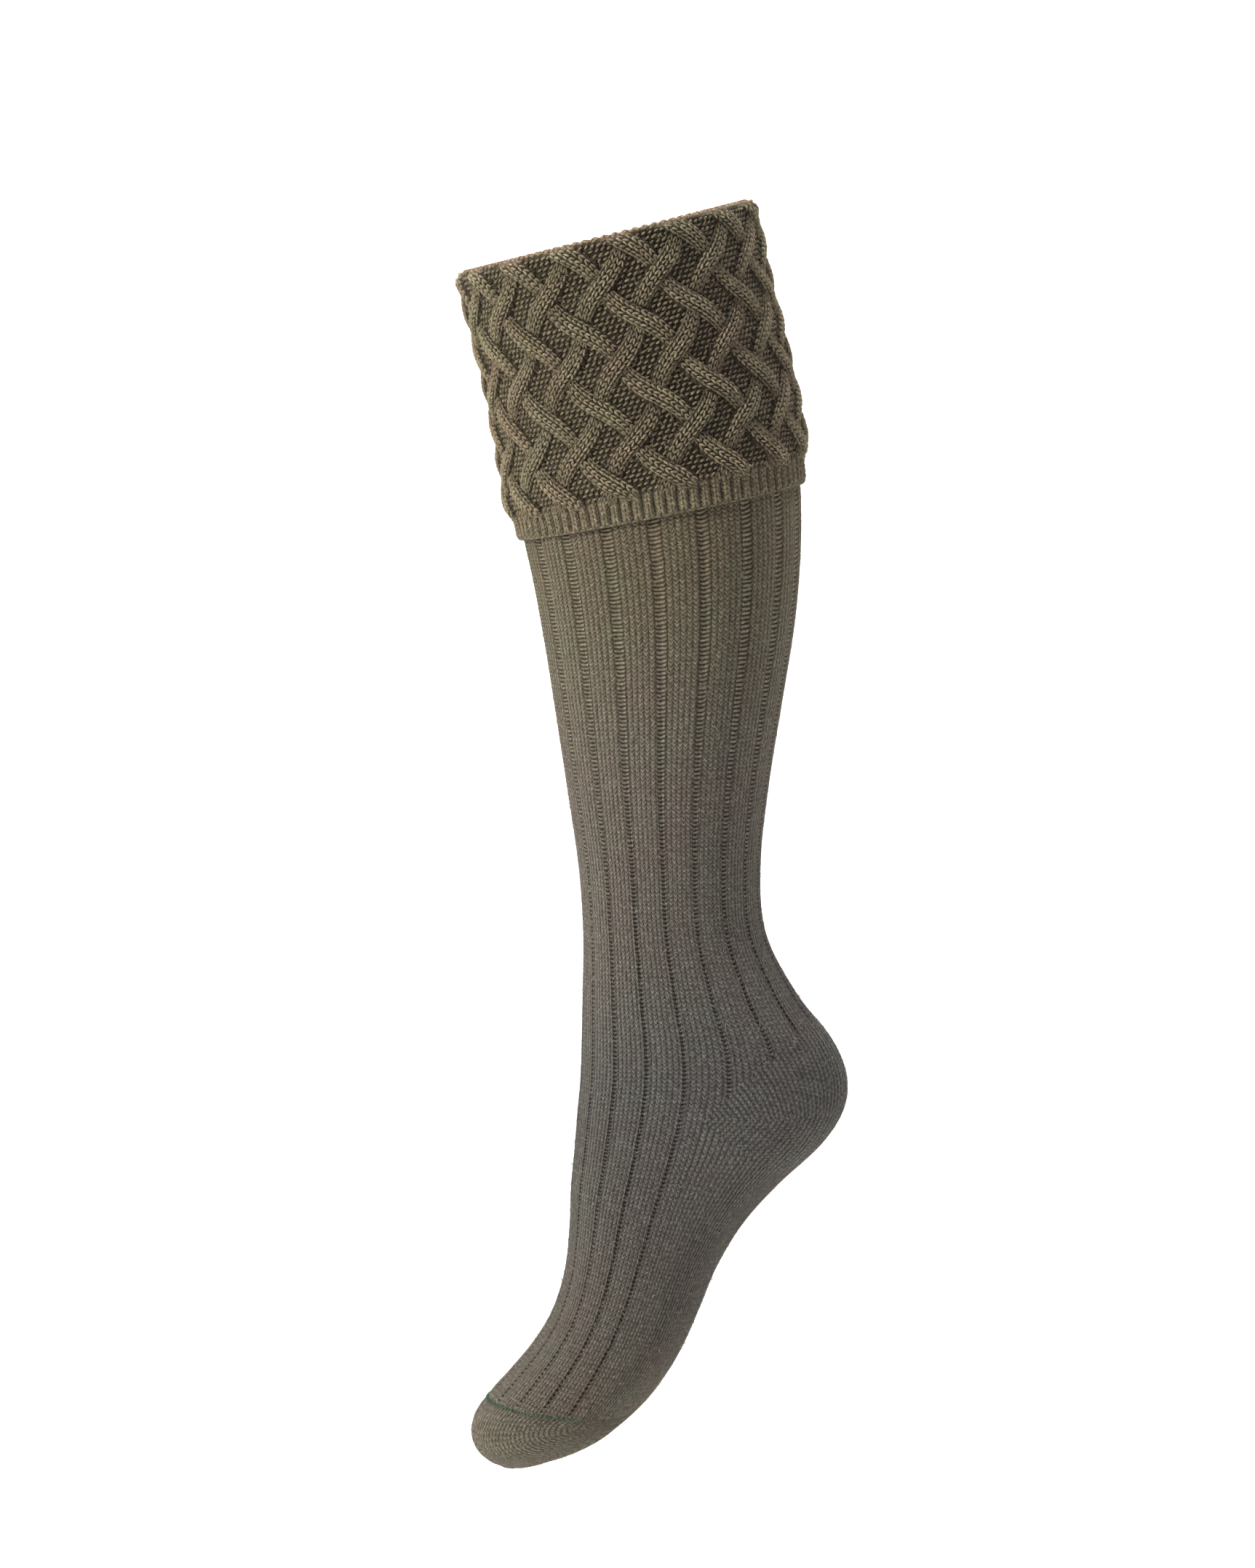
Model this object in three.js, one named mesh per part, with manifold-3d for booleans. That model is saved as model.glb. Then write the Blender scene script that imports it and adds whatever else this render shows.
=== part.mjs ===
// A knee-high knitted sock in the shape that it has when worn: a ribbed leg under a turned-down cuff
// with a lattice of crossing cables, a plain pocket heel, a ribbed instep, a plain sole, and a plain toe
// linked to the instep by a seam. Millimetres, +Z up. The sock is seen from its side along +Y: the calf
// and the heel lie towards +X, the toe towards -X, and the mid-plane is Y = 0. The origin is the middle
// of the opening, level with the fold at the top of the cuff.
import * as THREE from "three";
import { mergeVertices } from "three/addons/utils/BufferGeometryUtils.js";
import Module from "manifold-3d";

const wasm = await Module();
wasm.setup();

// Overall sizes of the worn form, over the ribs
const legHeight = 401; // from the fold down to the course where the heel gore starts
const calfDepth = 128; // front to back, under the cuff
const calfWidth = 119;
const ankleDepth = 83.5;
const ankleWidth = 68;
const heelDepth = 122; // from the bend of the ankle to the back of the heel
const heelWidth = 68;
const footLength = 244; // from the back of the heel to the tip of the toe
const ballDepth = 64; // top of the foot to the sole, across the ball
const ballWidth = 88;

// Knitted fabric
const wall = 2.3; // thickness of the leg and foot, over the ribs
const gap = 0.3; // clearance between two panels that meet
const ribCount = 18;
const ribDepth = 1.2; // how deep a purl channel lies between two ribs
const channelCalf = 3.3; // half the width of a purl channel on the calf, in degrees round the leg
const channelAnkle = 2.3; // the same at the ankle and over the foot
const ribTurn = 6; // degrees that the ribs of the leg are turned to the near side

// Turned-down cuff
const cuffDepth = 128; // from the fold down to the edge of its hem
const cuffWall = 3.3; // ground fabric, without the cables
const cuffEase = 0.4; // clearance round the leg
const cableRelief = 2.1; // how far a cable stands off the ground fabric
const cableRepeats = 16; // diamonds round the cuff
const cableTurn = 6; // degrees that the crossings are turned past the near side
const crossingStep = 17.5; // from one row of crossings to the next
const firstCrossing = 3.5; // from the fold down to the first row of crossings
const crossingRows = 7;
const hemDepth = 14; // the short ribbed hem
const hemDraw = 1.6; // how far the hem draws in below the cables
const hemRound = 1.5; // rounding of its lower edge
const foldDepth = 6; // how far the fold reaches down over the top edge of the leg
const foldRound = 1.2; // how far below the fold its outside starts to run straight

// Heel pocket and toe
const heelRise = 41; // degrees from the gore line up to the course where the ribs end
const heelFall = 38; // degrees from the gore line down to the first full course of the sole
const seamWidth = 1.3; // the linked seam across the top of the toes
const seamProud = 0.5; // how far it stands off the fabric
const seamFall = 4; // degrees that it falls from the front towards the sole
const seamRise = 7.5; // how far up the sideline from the steepest section its ends are

// Sections from the fold down to the tip of the toe. drop goes down and shift goes back or, in the foot
// tables, forward: shares of legHeight, and of footLength in the foot tables. depth and width are shares
// of the two sizes given with each table. tilt is in degrees, with the back of the section higher. egg
// widens the front of a section, or its back where it is negative. side is the angle from the front at
// which the front half of the stitches ends.
const calfSections = [
  // drop, shift, depth, width, tilt, egg, side
  [-0.05, -0.013, 1.005, 0.99, 14.2, -0.04, 90],
  [0.003, -0.003, 1.006, 0.995, 14.2, -0.04, 90],
  [0.078, 0.0145, 0.99, 0.998, 14.4, -0.05, 90],
  [0.156, 0.033, 0.994, 1.0, 14.0, -0.06, 90],
  [0.232, 0.048, 1.006, 1.0, 13.4, -0.07, 90],
  [0.305, 0.06, 1.004, 0.992, 11.8, -0.08, 90],
  [0.371, 0.067, 0.962, 0.966, 8.6, -0.08, 90],
  [0.448, 0.07, 0.897, 0.908, 5.4, -0.08, 90],
  [0.533, 0.069, 0.811, 0.832, 2.8, -0.06, 90],
];
const ankleSections = [
  [0.627, 0.068, 1.102, 1.275, 0.8, -0.03, 90],
  [0.719, 0.07, 0.995, 1.085, 0.2, 0.03, 90],
  [0.797, 0.076, 1.002, 1.0, 0.3, 0.1, 89],
];
const heelSections = [
  [0.868, 0.094, 0.81, 1.02, 0.3, 0.13, 87.5],
  [0.918, 0.113, 0.942, 1.025, 0.3, 0.14, 86],
  [0.96, 0.121, 1.003, 1.0, 0.2, 0.13, 85.5],
  [1.0, 0.1175, 1.003, 0.98, 0.2, 0.1, 85.3],
];
const archSections = [
  [0.053, 0.022, 0.929, 0.97, -2.5, 0.07, 87],
  [0.115, 0.064, 0.782, 0.985, -6.7, 0.04, 92.5],
];
const footSections = [
  [0.178, 0.099, 1.276, 0.793, -10.8, 0.0, 97],
  [0.258, 0.126, 1.101, 0.84, -13.6, -0.06, 98],
  [0.339, 0.147, 1.008, 0.908, -13.6, -0.1, 96],
  [0.408, 0.172, 0.981, 0.966, -11.8, -0.12, 95],
  [0.465, 0.204, 0.99, 1.0, -11.2, -0.12, 96],
  [0.524, 0.25, 0.985, 0.99, -13.2, -0.12, 101],
  [0.58, 0.307, 0.909, 0.93, -17.0, -0.1, 110],
  [0.606, 0.336, 0.85, 0.85, -16.4, -0.08, 110],
  [0.632, 0.36, 0.73, 0.735, -13.4, -0.05, 110],
  [0.653, 0.374, 0.56, 0.575, -10.4, 0.0, 110],
  [0.671, 0.381, 0.34, 0.345, -9.0, 0.0, 110],
  [0.679, 0.383, 0.14, 0.145, -9.0, 0.0, 110],
];
const columns = ["d", "x", "depth", "width", "tilt", "egg", "side"];

// Rows of a table, in millimetres
function placed(rows, from, across, along, depth, width) {
  return rows.map((row) => [
    from + row[0] * Math.abs(along),
    across + row[1] * along,
    row[2] * depth,
    row[3] * width,
    ...row.slice(4),
  ]);
}
const heelShift = heelSections.at(-1)[1] * legHeight;
const sections = [
  ...placed(calfSections, 0, 0, legHeight, calfDepth, calfWidth),
  ...placed(ankleSections, 0, 0, legHeight, ankleDepth, ankleWidth),
  ...placed(heelSections, 0, 0, legHeight, heelDepth, heelWidth),
  ...placed(archSections, legHeight, heelShift, -footLength, heelDepth, heelWidth),
  ...placed(footSections, legHeight, heelShift, -footLength, ballDepth, ballWidth),
];
const goreDrop = legHeight;
const ankleDrop = ankleSections.at(-1)[0] * legHeight;
const seamRow = footSections.reduce((a, b) => (b[4] < a[4] ? b : a)); // the steepest section
const seamDrop = legHeight + seamRow[0] * footLength;

const radians = THREE.MathUtils.degToRad;
const mix = THREE.MathUtils.lerp;

// Slope of one column at row i, for a smooth curve through all rows
function slope(i, column) {
  const before = sections[Math.max(i - 1, 0)];
  const after = sections[Math.min(i + 1, sections.length - 1)];
  return (after[column] - before[column]) / (after[0] - before[0]);
}

// The section at a distance d below the origin
function sectionAt(d) {
  const last = sections.length - 2;
  const next = sections.findIndex((row) => row[0] > d);
  const i = next < 0 ? last : THREE.MathUtils.clamp(next - 1, 0, last);
  const [a, b] = [sections[i], sections[i + 1]];
  const span = b[0] - a[0];
  const t = (d - a[0]) / span;
  const section = {};
  columns.forEach((name, column) => {
    const bend = t * (1 - t) ** 2 * slope(i, column) - t * t * (1 - t) * slope(i + 1, column);
    section[name] = mix(a[column], b[column], t * t * (3 - 2 * t)) + bend * span;
  });
  return section;
}

// A point of the worn form. phi is 0 at the front, 90 at the near side and 180 at the back.
function formPoint(d, phi) {
  const { x, depth, width, tilt, egg } = sectionAt(d);
  const along = -Math.cos(radians(phi)) * (depth / 2);
  const across = Math.sin(radians(phi)) * (width / 2) * (1 + egg * Math.cos(radians(phi)));
  return new THREE.Vector3(
    x + along * Math.cos(radians(tilt)),
    -across,
    -d + along * Math.sin(radians(tilt)),
  );
}

// The same point, raised off the form by a height along its normal
const normalStep = 0.5;
function raised(d, phi, height) {
  const round = formPoint(d, phi + normalStep).sub(formPoint(d, phi - normalStep));
  const down = formPoint(d + normalStep, phi).sub(formPoint(d - normalStep, phi));
  return formPoint(d, phi).addScaledVector(down.cross(round).normalize(), height);
}

// Angle round the form of a stitch: beta counts stitches evenly, with 0 at the front of the knitting
// and 90 where the front half ends.
function stitchAngle(beta, d) {
  const turned = ribTurn * (1 - THREE.MathUtils.smoothstep(d, ankleDrop, goreDrop));
  const side = sectionAt(d).side;
  const stops = [-180 + turned, -side + turned, ribTurn, side + turned, 180 + turned];
  const quarter = THREE.MathUtils.clamp(Math.floor(beta / 90) + 2, 0, 3);
  return mix(stops[quarter], stops[quarter + 1], beta / 90 + 2 - quarter);
}

function middleOf(ring) {
  const middle = new THREE.Vector3();
  ring.forEach((point) => middle.addScaledVector(point, 1 / ring.length));
  return middle;
}

// A closed mesh from rings of points, each joined to the next. The ends are capped, or the last ring
// is joined to the first. Each four-sided face is split along the diagonal that stands further out.
function loft(rings, joined = false) {
  const count = rings[0].length;
  const positions = rings.flat().flatMap((p) => [p.x, p.y, p.z]);
  const index = [];
  for (let r = 0; r < rings.length - (joined ? 0 : 1); r++) {
    const [upper, lower] = [r, (r + 1) % rings.length];
    const centre = middleOf(rings[upper]).lerp(middleOf(rings[lower]), 0.5);
    for (let i = 0; i < count; i++) {
      const next = (i + 1) % count;
      const corners = [rings[upper][i], rings[lower][i], rings[lower][next], rings[upper][next]];
      const reach = (a, b) => corners[a].clone().lerp(corners[b], 0.5).distanceTo(centre);
      const [a, b] = [upper * count + i, lower * count + i];
      const [c, e] = [lower * count + next, upper * count + next];
      index.push(...(reach(0, 2) >= reach(1, 3) ? [a, b, c, a, c, e] : [a, b, e, b, c, e]));
    }
  }
  if (!joined) {
    for (const r of [0, rings.length - 1]) {
      const middle = middleOf(rings[r]);
      const pole = positions.length / 3;
      positions.push(middle.x, middle.y, middle.z);
      for (let i = 0; i < count; i++) {
        const [a, b] = [r * count + i, r * count + ((i + 1) % count)];
        index.push(...(r === 0 ? [pole, a, b] : [pole, b, a]));
      }
    }
  }
  return { positions, index };
}

function geometryOf({ positions, index }) {
  const geometry = new THREE.BufferGeometry();
  geometry.setAttribute("position", new THREE.Float32BufferAttribute(positions, 3));
  geometry.setIndex(index);
  return geometry;
}

function solidOf(geometry) {
  const bare = new THREE.BufferGeometry();
  bare.setAttribute("position", geometry.getAttribute("position"));
  bare.setIndex(geometry.getIndex());
  const merged = mergeVertices(bare, 1e-4);
  return new wasm.Manifold(
    new wasm.Mesh({
      numProp: 3,
      vertProperties: merged.attributes.position.array,
      triVerts: new Uint32Array(merged.index.array),
    }),
  );
}

function meshOf(solid) {
  const { numProp, vertProperties, triVerts } = solid.getMesh();
  const positions = [];
  for (let i = 0; i < vertProperties.length; i += numProp) {
    positions.push(vertProperties[i], vertProperties[i + 1], vertProperties[i + 2]);
  }
  return geometryOf({ positions, index: Array.from(triVerts) });
}

// Distances below the origin for the rings of the leg: few under the cuff, then one for each section
const [foldRow, hemRow] = [sections[1], sections[5]]; // the sections next to the fold and the hem
const lean = Math.hypot(1, (hemRow[1] - foldRow[1]) / (hemRow[0] - foldRow[0]));
const dropAlong = (length) => length / lean; // a length along the leg under the cuff, as a drop
const legTop = dropAlong(foldDepth);
const cuffEdge = dropAlong(cuffDepth);
const underCuff = [legTop, (legTop + cuffEdge) / 2, cuffEdge];
const ringStep = 8; // the least distance from the last ring under the cuff to the next
const belowCuff = sections.map((row) => row[0]).filter((d) => d > cuffEdge + ringStep);

// Outer surface of the ribbed panels. Each rib has a crown and two edges, and a channel beside it.
function ribbedRing(d) {
  const calm = THREE.MathUtils.smoothstep(d, cuffEdge, ankleDrop);
  const half = mix(channelCalf, channelAnkle, calm);
  const step = 360 / ribCount;
  const ring = [];
  for (let rib = 0; rib < ribCount; rib++) {
    const channel = -180 + rib * step;
    ring.push(raised(d, stitchAngle(channel, d), -ribDepth));
    ring.push(raised(d, stitchAngle(channel + half, d), 0));
    ring.push(raised(d, stitchAngle(channel + step / 2, d), 0));
    ring.push(raised(d, stitchAngle(channel + step - half, d), 0));
  }
  return ring;
}

function plainRing(d, height, count) {
  return Array.from({ length: count }, (_, i) => raised(d, (i * 360) / count, height));
}

const plainSides = 34;
const innerSides = 20;
const overlapBand = 12; // how far a shell reaches past the panel that is cut from it
const ribbed = loft(
  [...underCuff, ...belowCuff.filter((d) => d < seamDrop + overlapBand)].map(ribbedRing),
);
const plain = loft(
  belowCuff.filter((d) => d >= ankleDrop).map((d) => plainRing(d, 0, plainSides)),
);
const seamBand = [-3, -2, -1, 0, 1, 2, 3].map((i) => seamDrop + (i * overlapBand) / 3);
const proud = loft(seamBand.map((d) => plainRing(d, seamProud, plainSides)));
const hollowDrops = [legTop - overlapBand, ...underCuff, ...belowCuff.slice(0, -1)];
const hollow = solidOf(geometryOf(loft(hollowDrops.map((d) => plainRing(d, -wall, innerSides)))));
const shellOf = (outer) => solidOf(geometryOf(outer)).subtract(hollow);
const ribbedShell = shellOf(ribbed);
const plainShell = shellOf(plain);
const seamShell = shellOf(proud);

// Panels are cut by outlines drawn from the side, as [x, z] points anticlockwise, each drawn in by half
// the gap.
const far = 2 * (legHeight + footLength);
function drawnIn(outline, by) {
  const edges = outline.map(([x, z], i) => {
    const [nextX, nextZ] = outline[(i + 1) % outline.length];
    const length = Math.hypot(nextX - x, nextZ - z);
    const normal = [-(nextZ - z) / length, (nextX - x) / length];
    return { normal, reach: normal[0] * x + normal[1] * z + by };
  });
  return edges.map(({ normal: [c, e], reach: r }, i) => {
    const { normal: [a, b], reach: q } = edges.at(i - 1);
    const area = a * e - b * c;
    return [(q * e - b * r) / area, (a * r - q * c) / area];
  });
}

function panel(shell, outline) {
  const shape = new THREE.Shape(drawnIn(outline, gap / 2).map(([x, z]) => new THREE.Vector2(x, z)));
  const block = new THREE.ExtrudeGeometry(shape, { depth: far, bevelEnabled: false });
  block.translate(0, 0, -far / 2).rotateX(Math.PI / 2);
  block.deleteAttribute("normal");
  block.deleteAttribute("uv");
  return meshOf(shell.intersect(solidOf(mergeVertices(block, 1e-4))));
}

// The line between the instep and the sole, from the gore down to the end of the toe seam
const seamEndDrop = seamDrop - seamRise;
const sideline = sections
  .map(([d]) => d)
  .filter((d) => d >= goreDrop && d < seamEndDrop - 1)
  .concat(seamEndDrop)
  .map((d) => formPoint(d, sectionAt(d).side))
  .map((p) => [p.x, p.z]);
const gore = sideline[0];
const seamEnd = sideline.at(-1);
const fromPoint = ([x, z], angle, reach) => [
  x + reach * Math.cos(radians(angle)),
  z + reach * Math.sin(radians(angle)),
];
const seamTilt = -seamFall;
const heelUpper = fromPoint(gore, heelRise, footLength);
const heelLower = fromPoint(gore, -heelFall, footLength);
const toeBack = fromPoint(seamEnd, seamTilt, footLength);
const toeFront = fromPoint(seamEnd, seamTilt + 180, footLength);
const belowSeam = (point) => fromPoint(point, seamTilt - 90, seamWidth + gap);

const legOutline = [[-far, gore[1]], gore, heelUpper, [far, far], [-far, far]];
const heelOutline = [gore, heelLower, heelUpper];
const instepOutline = [toeFront, ...sideline.toReversed(), [-far, gore[1]]];
const soleOutline = [...sideline, toeBack, heelLower];
const seamOutline = [toeFront, belowSeam(toeFront), belowSeam(seamEnd), seamEnd];
const toeOutline = [
  belowSeam(toeFront),
  [-far, -far],
  [far, -far],
  toeBack,
  seamEnd,
  belowSeam(seamEnd),
];

// Height of the cables over the ground fabric, on a grid of six columns a diamond and three rows a
// crossing step. One strand runs over the other at each crossing, in turn.
const stepsRound = 6;
const stepsDown = 3;
const cableFlank = 0.65; // height beside the middle of a cable, as a share of its full height
const cableDip = 0.45; // height of the lower cable where it goes under a crossing
const fromStrand = (i) => Math.abs(((((i + 3) % stepsRound) + stepsRound) % stepsRound) - 3);
function cableHeight(i, j) {
  const strand = (distance, dips) => [dips ? cableDip : 1, cableFlank, 0, 0][distance];
  const [rising, falling] = [fromStrand(i + j), fromStrand(i - j)];
  const risingOver = Math.round(j / stepsDown) % 2 === 1;
  const beside = Math.min(rising, falling) === 0 && Math.max(rising, falling) === 2;
  return Math.max(
    strand(rising, beside && !risingOver && rising === 0),
    strand(falling, beside && risingOver && falling === 0),
  );
}

// The cuff's wall in section, as rings of [length below the fold, height off the leg]. It starts on
// the inside of the fold, goes over it and down the outside, and comes back up against the leg.
function cuffRings() {
  const count = cableRepeats * stepsRound;
  const ground = cuffEase + cuffWall;
  const ringAt = (length, height) =>
    Array.from({ length: count }, (_, i) =>
      raised(dropAlong(length), cableTurn + (i * 360) / count, height(i)),
    );
  const even = (height) => () => height;
  const rings = [
    ringAt(foldDepth - gap, even(-wall)),
    ringAt(foldDepth / 3, even(-wall)),
    ringAt(0, even((ground - wall) / 2)),
    ringAt(foldRound, even(ground)),
  ];
  for (let j = 0; j <= (crossingRows - 1) * stepsDown; j++) {
    const length = firstCrossing + (j * crossingStep) / stepsDown;
    rings.push(ringAt(length, (i) => ground + cableRelief * cableHeight(i, j)));
  }
  const hemTop = cuffDepth - hemDepth;
  rings.push(ringAt(hemTop, even(ground - hemDraw / 2)));
  rings.push(ringAt(cuffDepth - hemRound, even(ground - hemDraw)));
  rings.push(ringAt(cuffDepth, even(cuffEase + (cuffWall - hemDraw) / 2)));
  rings.push(ringAt(cuffDepth - hemRound, even(cuffEase)));
  rings.push(ringAt((foldDepth + cuffDepth) / 2, even(cuffEase)));
  rings.push(ringAt(foldDepth - gap, even(cuffEase)));
  return rings;
}

function knitted(name, geometry, colour) {
  const material = new THREE.MeshStandardMaterial({ color: colour, roughness: 0.95, metalness: 0 });
  const mesh = new THREE.Mesh(geometry, material);
  mesh.name = name;
  return mesh;
}

const sock = new THREE.Group();
sock.add(knitted("cuff", geometryOf(loft(cuffRings(), true)), 0x6a6044));
sock.add(knitted("leg", panel(ribbedShell, legOutline), 0x66614c));
sock.add(knitted("heel", panel(plainShell, heelOutline), 0x505146));
sock.add(knitted("instep", panel(ribbedShell, instepOutline), 0x5f5c50));
sock.add(knitted("sole", panel(plainShell, soleOutline), 0x5a574a));
sock.add(knitted("toe", panel(plainShell, toeOutline), 0x5d594a));
sock.add(knitted("toe_seam", panel(seamShell, seamOutline), 0x2f4a3a));
export default sock;
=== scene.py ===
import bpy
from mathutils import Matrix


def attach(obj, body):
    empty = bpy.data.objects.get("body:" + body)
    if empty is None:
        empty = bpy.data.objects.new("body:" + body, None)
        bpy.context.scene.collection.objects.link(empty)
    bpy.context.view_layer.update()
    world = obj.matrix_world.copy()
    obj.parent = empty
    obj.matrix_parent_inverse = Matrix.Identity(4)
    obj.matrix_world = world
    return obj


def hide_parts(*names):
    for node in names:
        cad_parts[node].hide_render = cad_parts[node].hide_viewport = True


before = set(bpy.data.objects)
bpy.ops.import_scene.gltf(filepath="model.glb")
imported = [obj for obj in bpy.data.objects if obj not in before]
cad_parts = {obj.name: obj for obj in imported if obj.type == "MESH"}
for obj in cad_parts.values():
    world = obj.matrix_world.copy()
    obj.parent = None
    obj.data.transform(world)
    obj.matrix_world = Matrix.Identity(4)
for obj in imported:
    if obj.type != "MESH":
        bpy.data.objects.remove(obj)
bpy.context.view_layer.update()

import math

import bmesh
import bpy
import numpy as np
from mathutils import Vector

# A knee-high knitted sock as it looks when worn. Everything is worked out in millimetres on the
# worn form, then made in metres. d is the distance below the fold, phi the angle round the form
# with 0 at the front, 90 at the near side and 180 at the back.
mm = 0.001
collection = bpy.context.scene.collection
random = np.random.default_rng(18)

form = {
    "legHeight": 401,
    "calfDepth": 128,
    "calfWidth": 119,
    "ankleDepth": 83.5,
    "ankleWidth": 68,
    "heelDepth": 122,
    "heelWidth": 68,
    "footLength": 244,
    "ballDepth": 64,
    "ballWidth": 88,
    "wall": 2.3,
    "seamFall": 4,  # degrees that the toe seam falls from the front towards the sole
    "seamRise": 7.5,  # how far its ends lie up the sideline from the seam's section
    "ribTurn": 6,  # degrees that the ribs of the leg are turned to the near side
    "walesPerRib": 7,  # five knitted and two purled
}
walesPerRib = form["walesPerRib"]
legHeight, footLength = form["legHeight"], form["footLength"]

# The same sections as the solids: drop, shift, depth, width, tilt, egg, side
calfSections = [
    [-0.05, -0.013, 1.005, 0.99, 14.2, -0.04, 90],
    [0.003, -0.003, 1.006, 0.995, 14.2, -0.04, 90],
    [0.078, 0.0145, 0.99, 0.998, 14.4, -0.05, 90],
    [0.156, 0.033, 0.994, 1.0, 14.0, -0.06, 90],
    [0.232, 0.048, 1.006, 1.0, 13.4, -0.07, 90],
    [0.305, 0.06, 1.004, 0.992, 11.8, -0.08, 90],
    [0.371, 0.067, 0.962, 0.966, 8.6, -0.08, 90],
    [0.448, 0.07, 0.897, 0.908, 5.4, -0.08, 90],
    [0.533, 0.069, 0.811, 0.832, 2.8, -0.06, 90],
]
ankleSections = [
    [0.627, 0.068, 1.102, 1.275, 0.8, -0.03, 90],
    [0.719, 0.07, 0.995, 1.085, 0.2, 0.03, 90],
    [0.797, 0.076, 1.002, 1.0, 0.3, 0.1, 89],
]
heelSections = [
    [0.868, 0.094, 0.81, 1.02, 0.3, 0.13, 87.5],
    [0.918, 0.113, 0.942, 1.025, 0.3, 0.14, 86],
    [0.96, 0.121, 1.003, 1.0, 0.2, 0.13, 85.5],
    [1.0, 0.1175, 1.003, 0.98, 0.2, 0.1, 85.3],
]
archSections = [
    [0.053, 0.022, 0.929, 0.97, -2.5, 0.07, 87],
    [0.115, 0.064, 0.782, 0.985, -6.7, 0.04, 92.5],
]
footSections = [
    [0.178, 0.099, 1.276, 0.793, -10.8, 0.0, 97],
    [0.258, 0.126, 1.101, 0.84, -13.6, -0.06, 98],
    [0.339, 0.147, 1.008, 0.908, -13.6, -0.1, 96],
    [0.408, 0.172, 0.981, 0.966, -11.8, -0.12, 95],
    [0.465, 0.204, 0.99, 1.0, -11.2, -0.12, 96],
    [0.524, 0.25, 0.985, 0.99, -13.2, -0.12, 101],
    [0.58, 0.307, 0.909, 0.93, -17.0, -0.1, 110],
    [0.606, 0.336, 0.85, 0.85, -16.4, -0.08, 110],
    [0.632, 0.36, 0.73, 0.735, -13.4, -0.05, 110],
    [0.653, 0.374, 0.56, 0.575, -10.4, 0.0, 110],
    [0.671, 0.381, 0.34, 0.345, -9.0, 0.0, 110],
    [0.679, 0.383, 0.14, 0.145, -9.0, 0.0, 110],
]
heelShift = heelSections[-1][1] * legHeight


def placed(rows, depth, width, foot=False):
    table = np.array(rows, float)
    if foot:
        table[:, 0] = legHeight + table[:, 0] * footLength
        table[:, 1] = heelShift - table[:, 1] * footLength
    else:
        table[:, :2] *= legHeight
    table[:, 2] *= depth
    table[:, 3] *= width
    return table


sections = np.vstack([
    placed(calfSections, form["calfDepth"], form["calfWidth"]),
    placed(ankleSections, form["ankleDepth"], form["ankleWidth"]),
    placed(heelSections, form["heelDepth"], form["heelWidth"]),
    placed(archSections, form["heelDepth"], form["heelWidth"], foot=True),
    placed(footSections, form["ballDepth"], form["ballWidth"], foot=True),
])
rowNumbers = np.arange(len(sections))
rowAbove = np.maximum(rowNumbers - 1, 0)
rowBelow = np.minimum(rowNumbers + 1, len(sections) - 1)
slopes = sections[rowBelow] - sections[rowAbove]
slopes = slopes / slopes[:, :1]
goreDrop = legHeight
ankleDrop = ankleSections[-1][0] * legHeight
seamDrop = legHeight + footSections[6][0] * footLength
tipDrop = sections[-1, 0]


def smoothstep(x, low, high):
    t = np.clip((x - low) / (high - low), 0, 1)
    return t * t * (3 - 2 * t)


# The section at d, as an array whose last axis is d, shift, depth, width, tilt, egg, side
def sectionAt(d):
    d = np.asarray(d, float)
    i = np.clip(np.searchsorted(sections[:, 0], d, side="right") - 1, 0, len(sections) - 2)
    above, below = sections[i], sections[i + 1]
    span = (below[..., 0] - above[..., 0])[..., None]
    t = (d[..., None] - above[..., :1]) / span
    bend = t * (1 - t) ** 2 * slopes[i] - t * t * (1 - t) * slopes[i + 1]
    return above + (below - above) * t * t * (3 - 2 * t) + bend * span


def formPoint(d, phi):
    d, phi = np.broadcast_arrays(np.asarray(d, float), np.asarray(phi, float))
    _, x, depth, width, tilt, egg, _ = np.moveaxis(sectionAt(d), -1, 0)
    turn, tilt = np.radians(phi), np.radians(tilt)
    along = -np.cos(turn) * depth / 2
    across = np.sin(turn) * width / 2 * (1 + egg * np.cos(turn))
    return np.stack([x + along * np.cos(tilt), -across, -d + along * np.sin(tilt)], -1)


def unit(vectors):
    return vectors / np.maximum(np.linalg.norm(vectors, axis=-1, keepdims=True), 1e-9)


# Directions on the form at a point: outwards, round it with phi, and down it
def directions(d, phi, step=0.5):
    around = unit(formPoint(d, phi + step) - formPoint(d, phi - step))
    down = formPoint(d + step, phi) - formPoint(d - step, phi)
    outward = unit(np.cross(down, around))
    return outward, around, np.cross(around, outward)


def raised(d, phi, height):
    outward, _, _ = directions(d, phi)
    return formPoint(d, phi) + outward * np.asarray(height)[..., None]


# Angle round the form of a stitch. beta counts stitches evenly: 0 at the front, 90 at the side.
def stitchAngle(beta, d):
    beta, d = np.broadcast_arrays(np.asarray(beta, float), np.asarray(d, float))
    turned = form["ribTurn"] * (1 - smoothstep(d, ankleDrop, goreDrop))
    side = sectionAt(d)[..., 6]
    stops = np.stack(
        [turned - 180, turned - side, turned * 0 + form["ribTurn"], turned + side, turned + 180], -1
    )
    quarter = np.clip(np.floor(beta / 90).astype(int) + 2, 0, 3)
    low = np.take_along_axis(stops, quarter[..., None], -1)[..., 0]
    high = np.take_along_axis(stops, quarter[..., None] + 1, -1)[..., 0]
    return low + (high - low) * (beta / 90 + 2 - quarter)


leanRows = sections[[1, 5]]
lean = math.hypot(1, (leanRows[1, 1] - leanRows[0, 1]) / (leanRows[1, 0] - leanRows[0, 0]))
gore = formPoint(goreDrop, sectionAt(goreDrop)[6])
seamEndDrop = seamDrop - form["seamRise"]
seamEnd = formPoint(seamEndDrop, sectionAt(seamEndDrop)[6])
seamTilt = -form["seamFall"]
seamUp = np.array([-math.sin(math.radians(seamTilt)), 0, math.cos(math.radians(seamTilt))])
print("form: sections ready")


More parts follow.
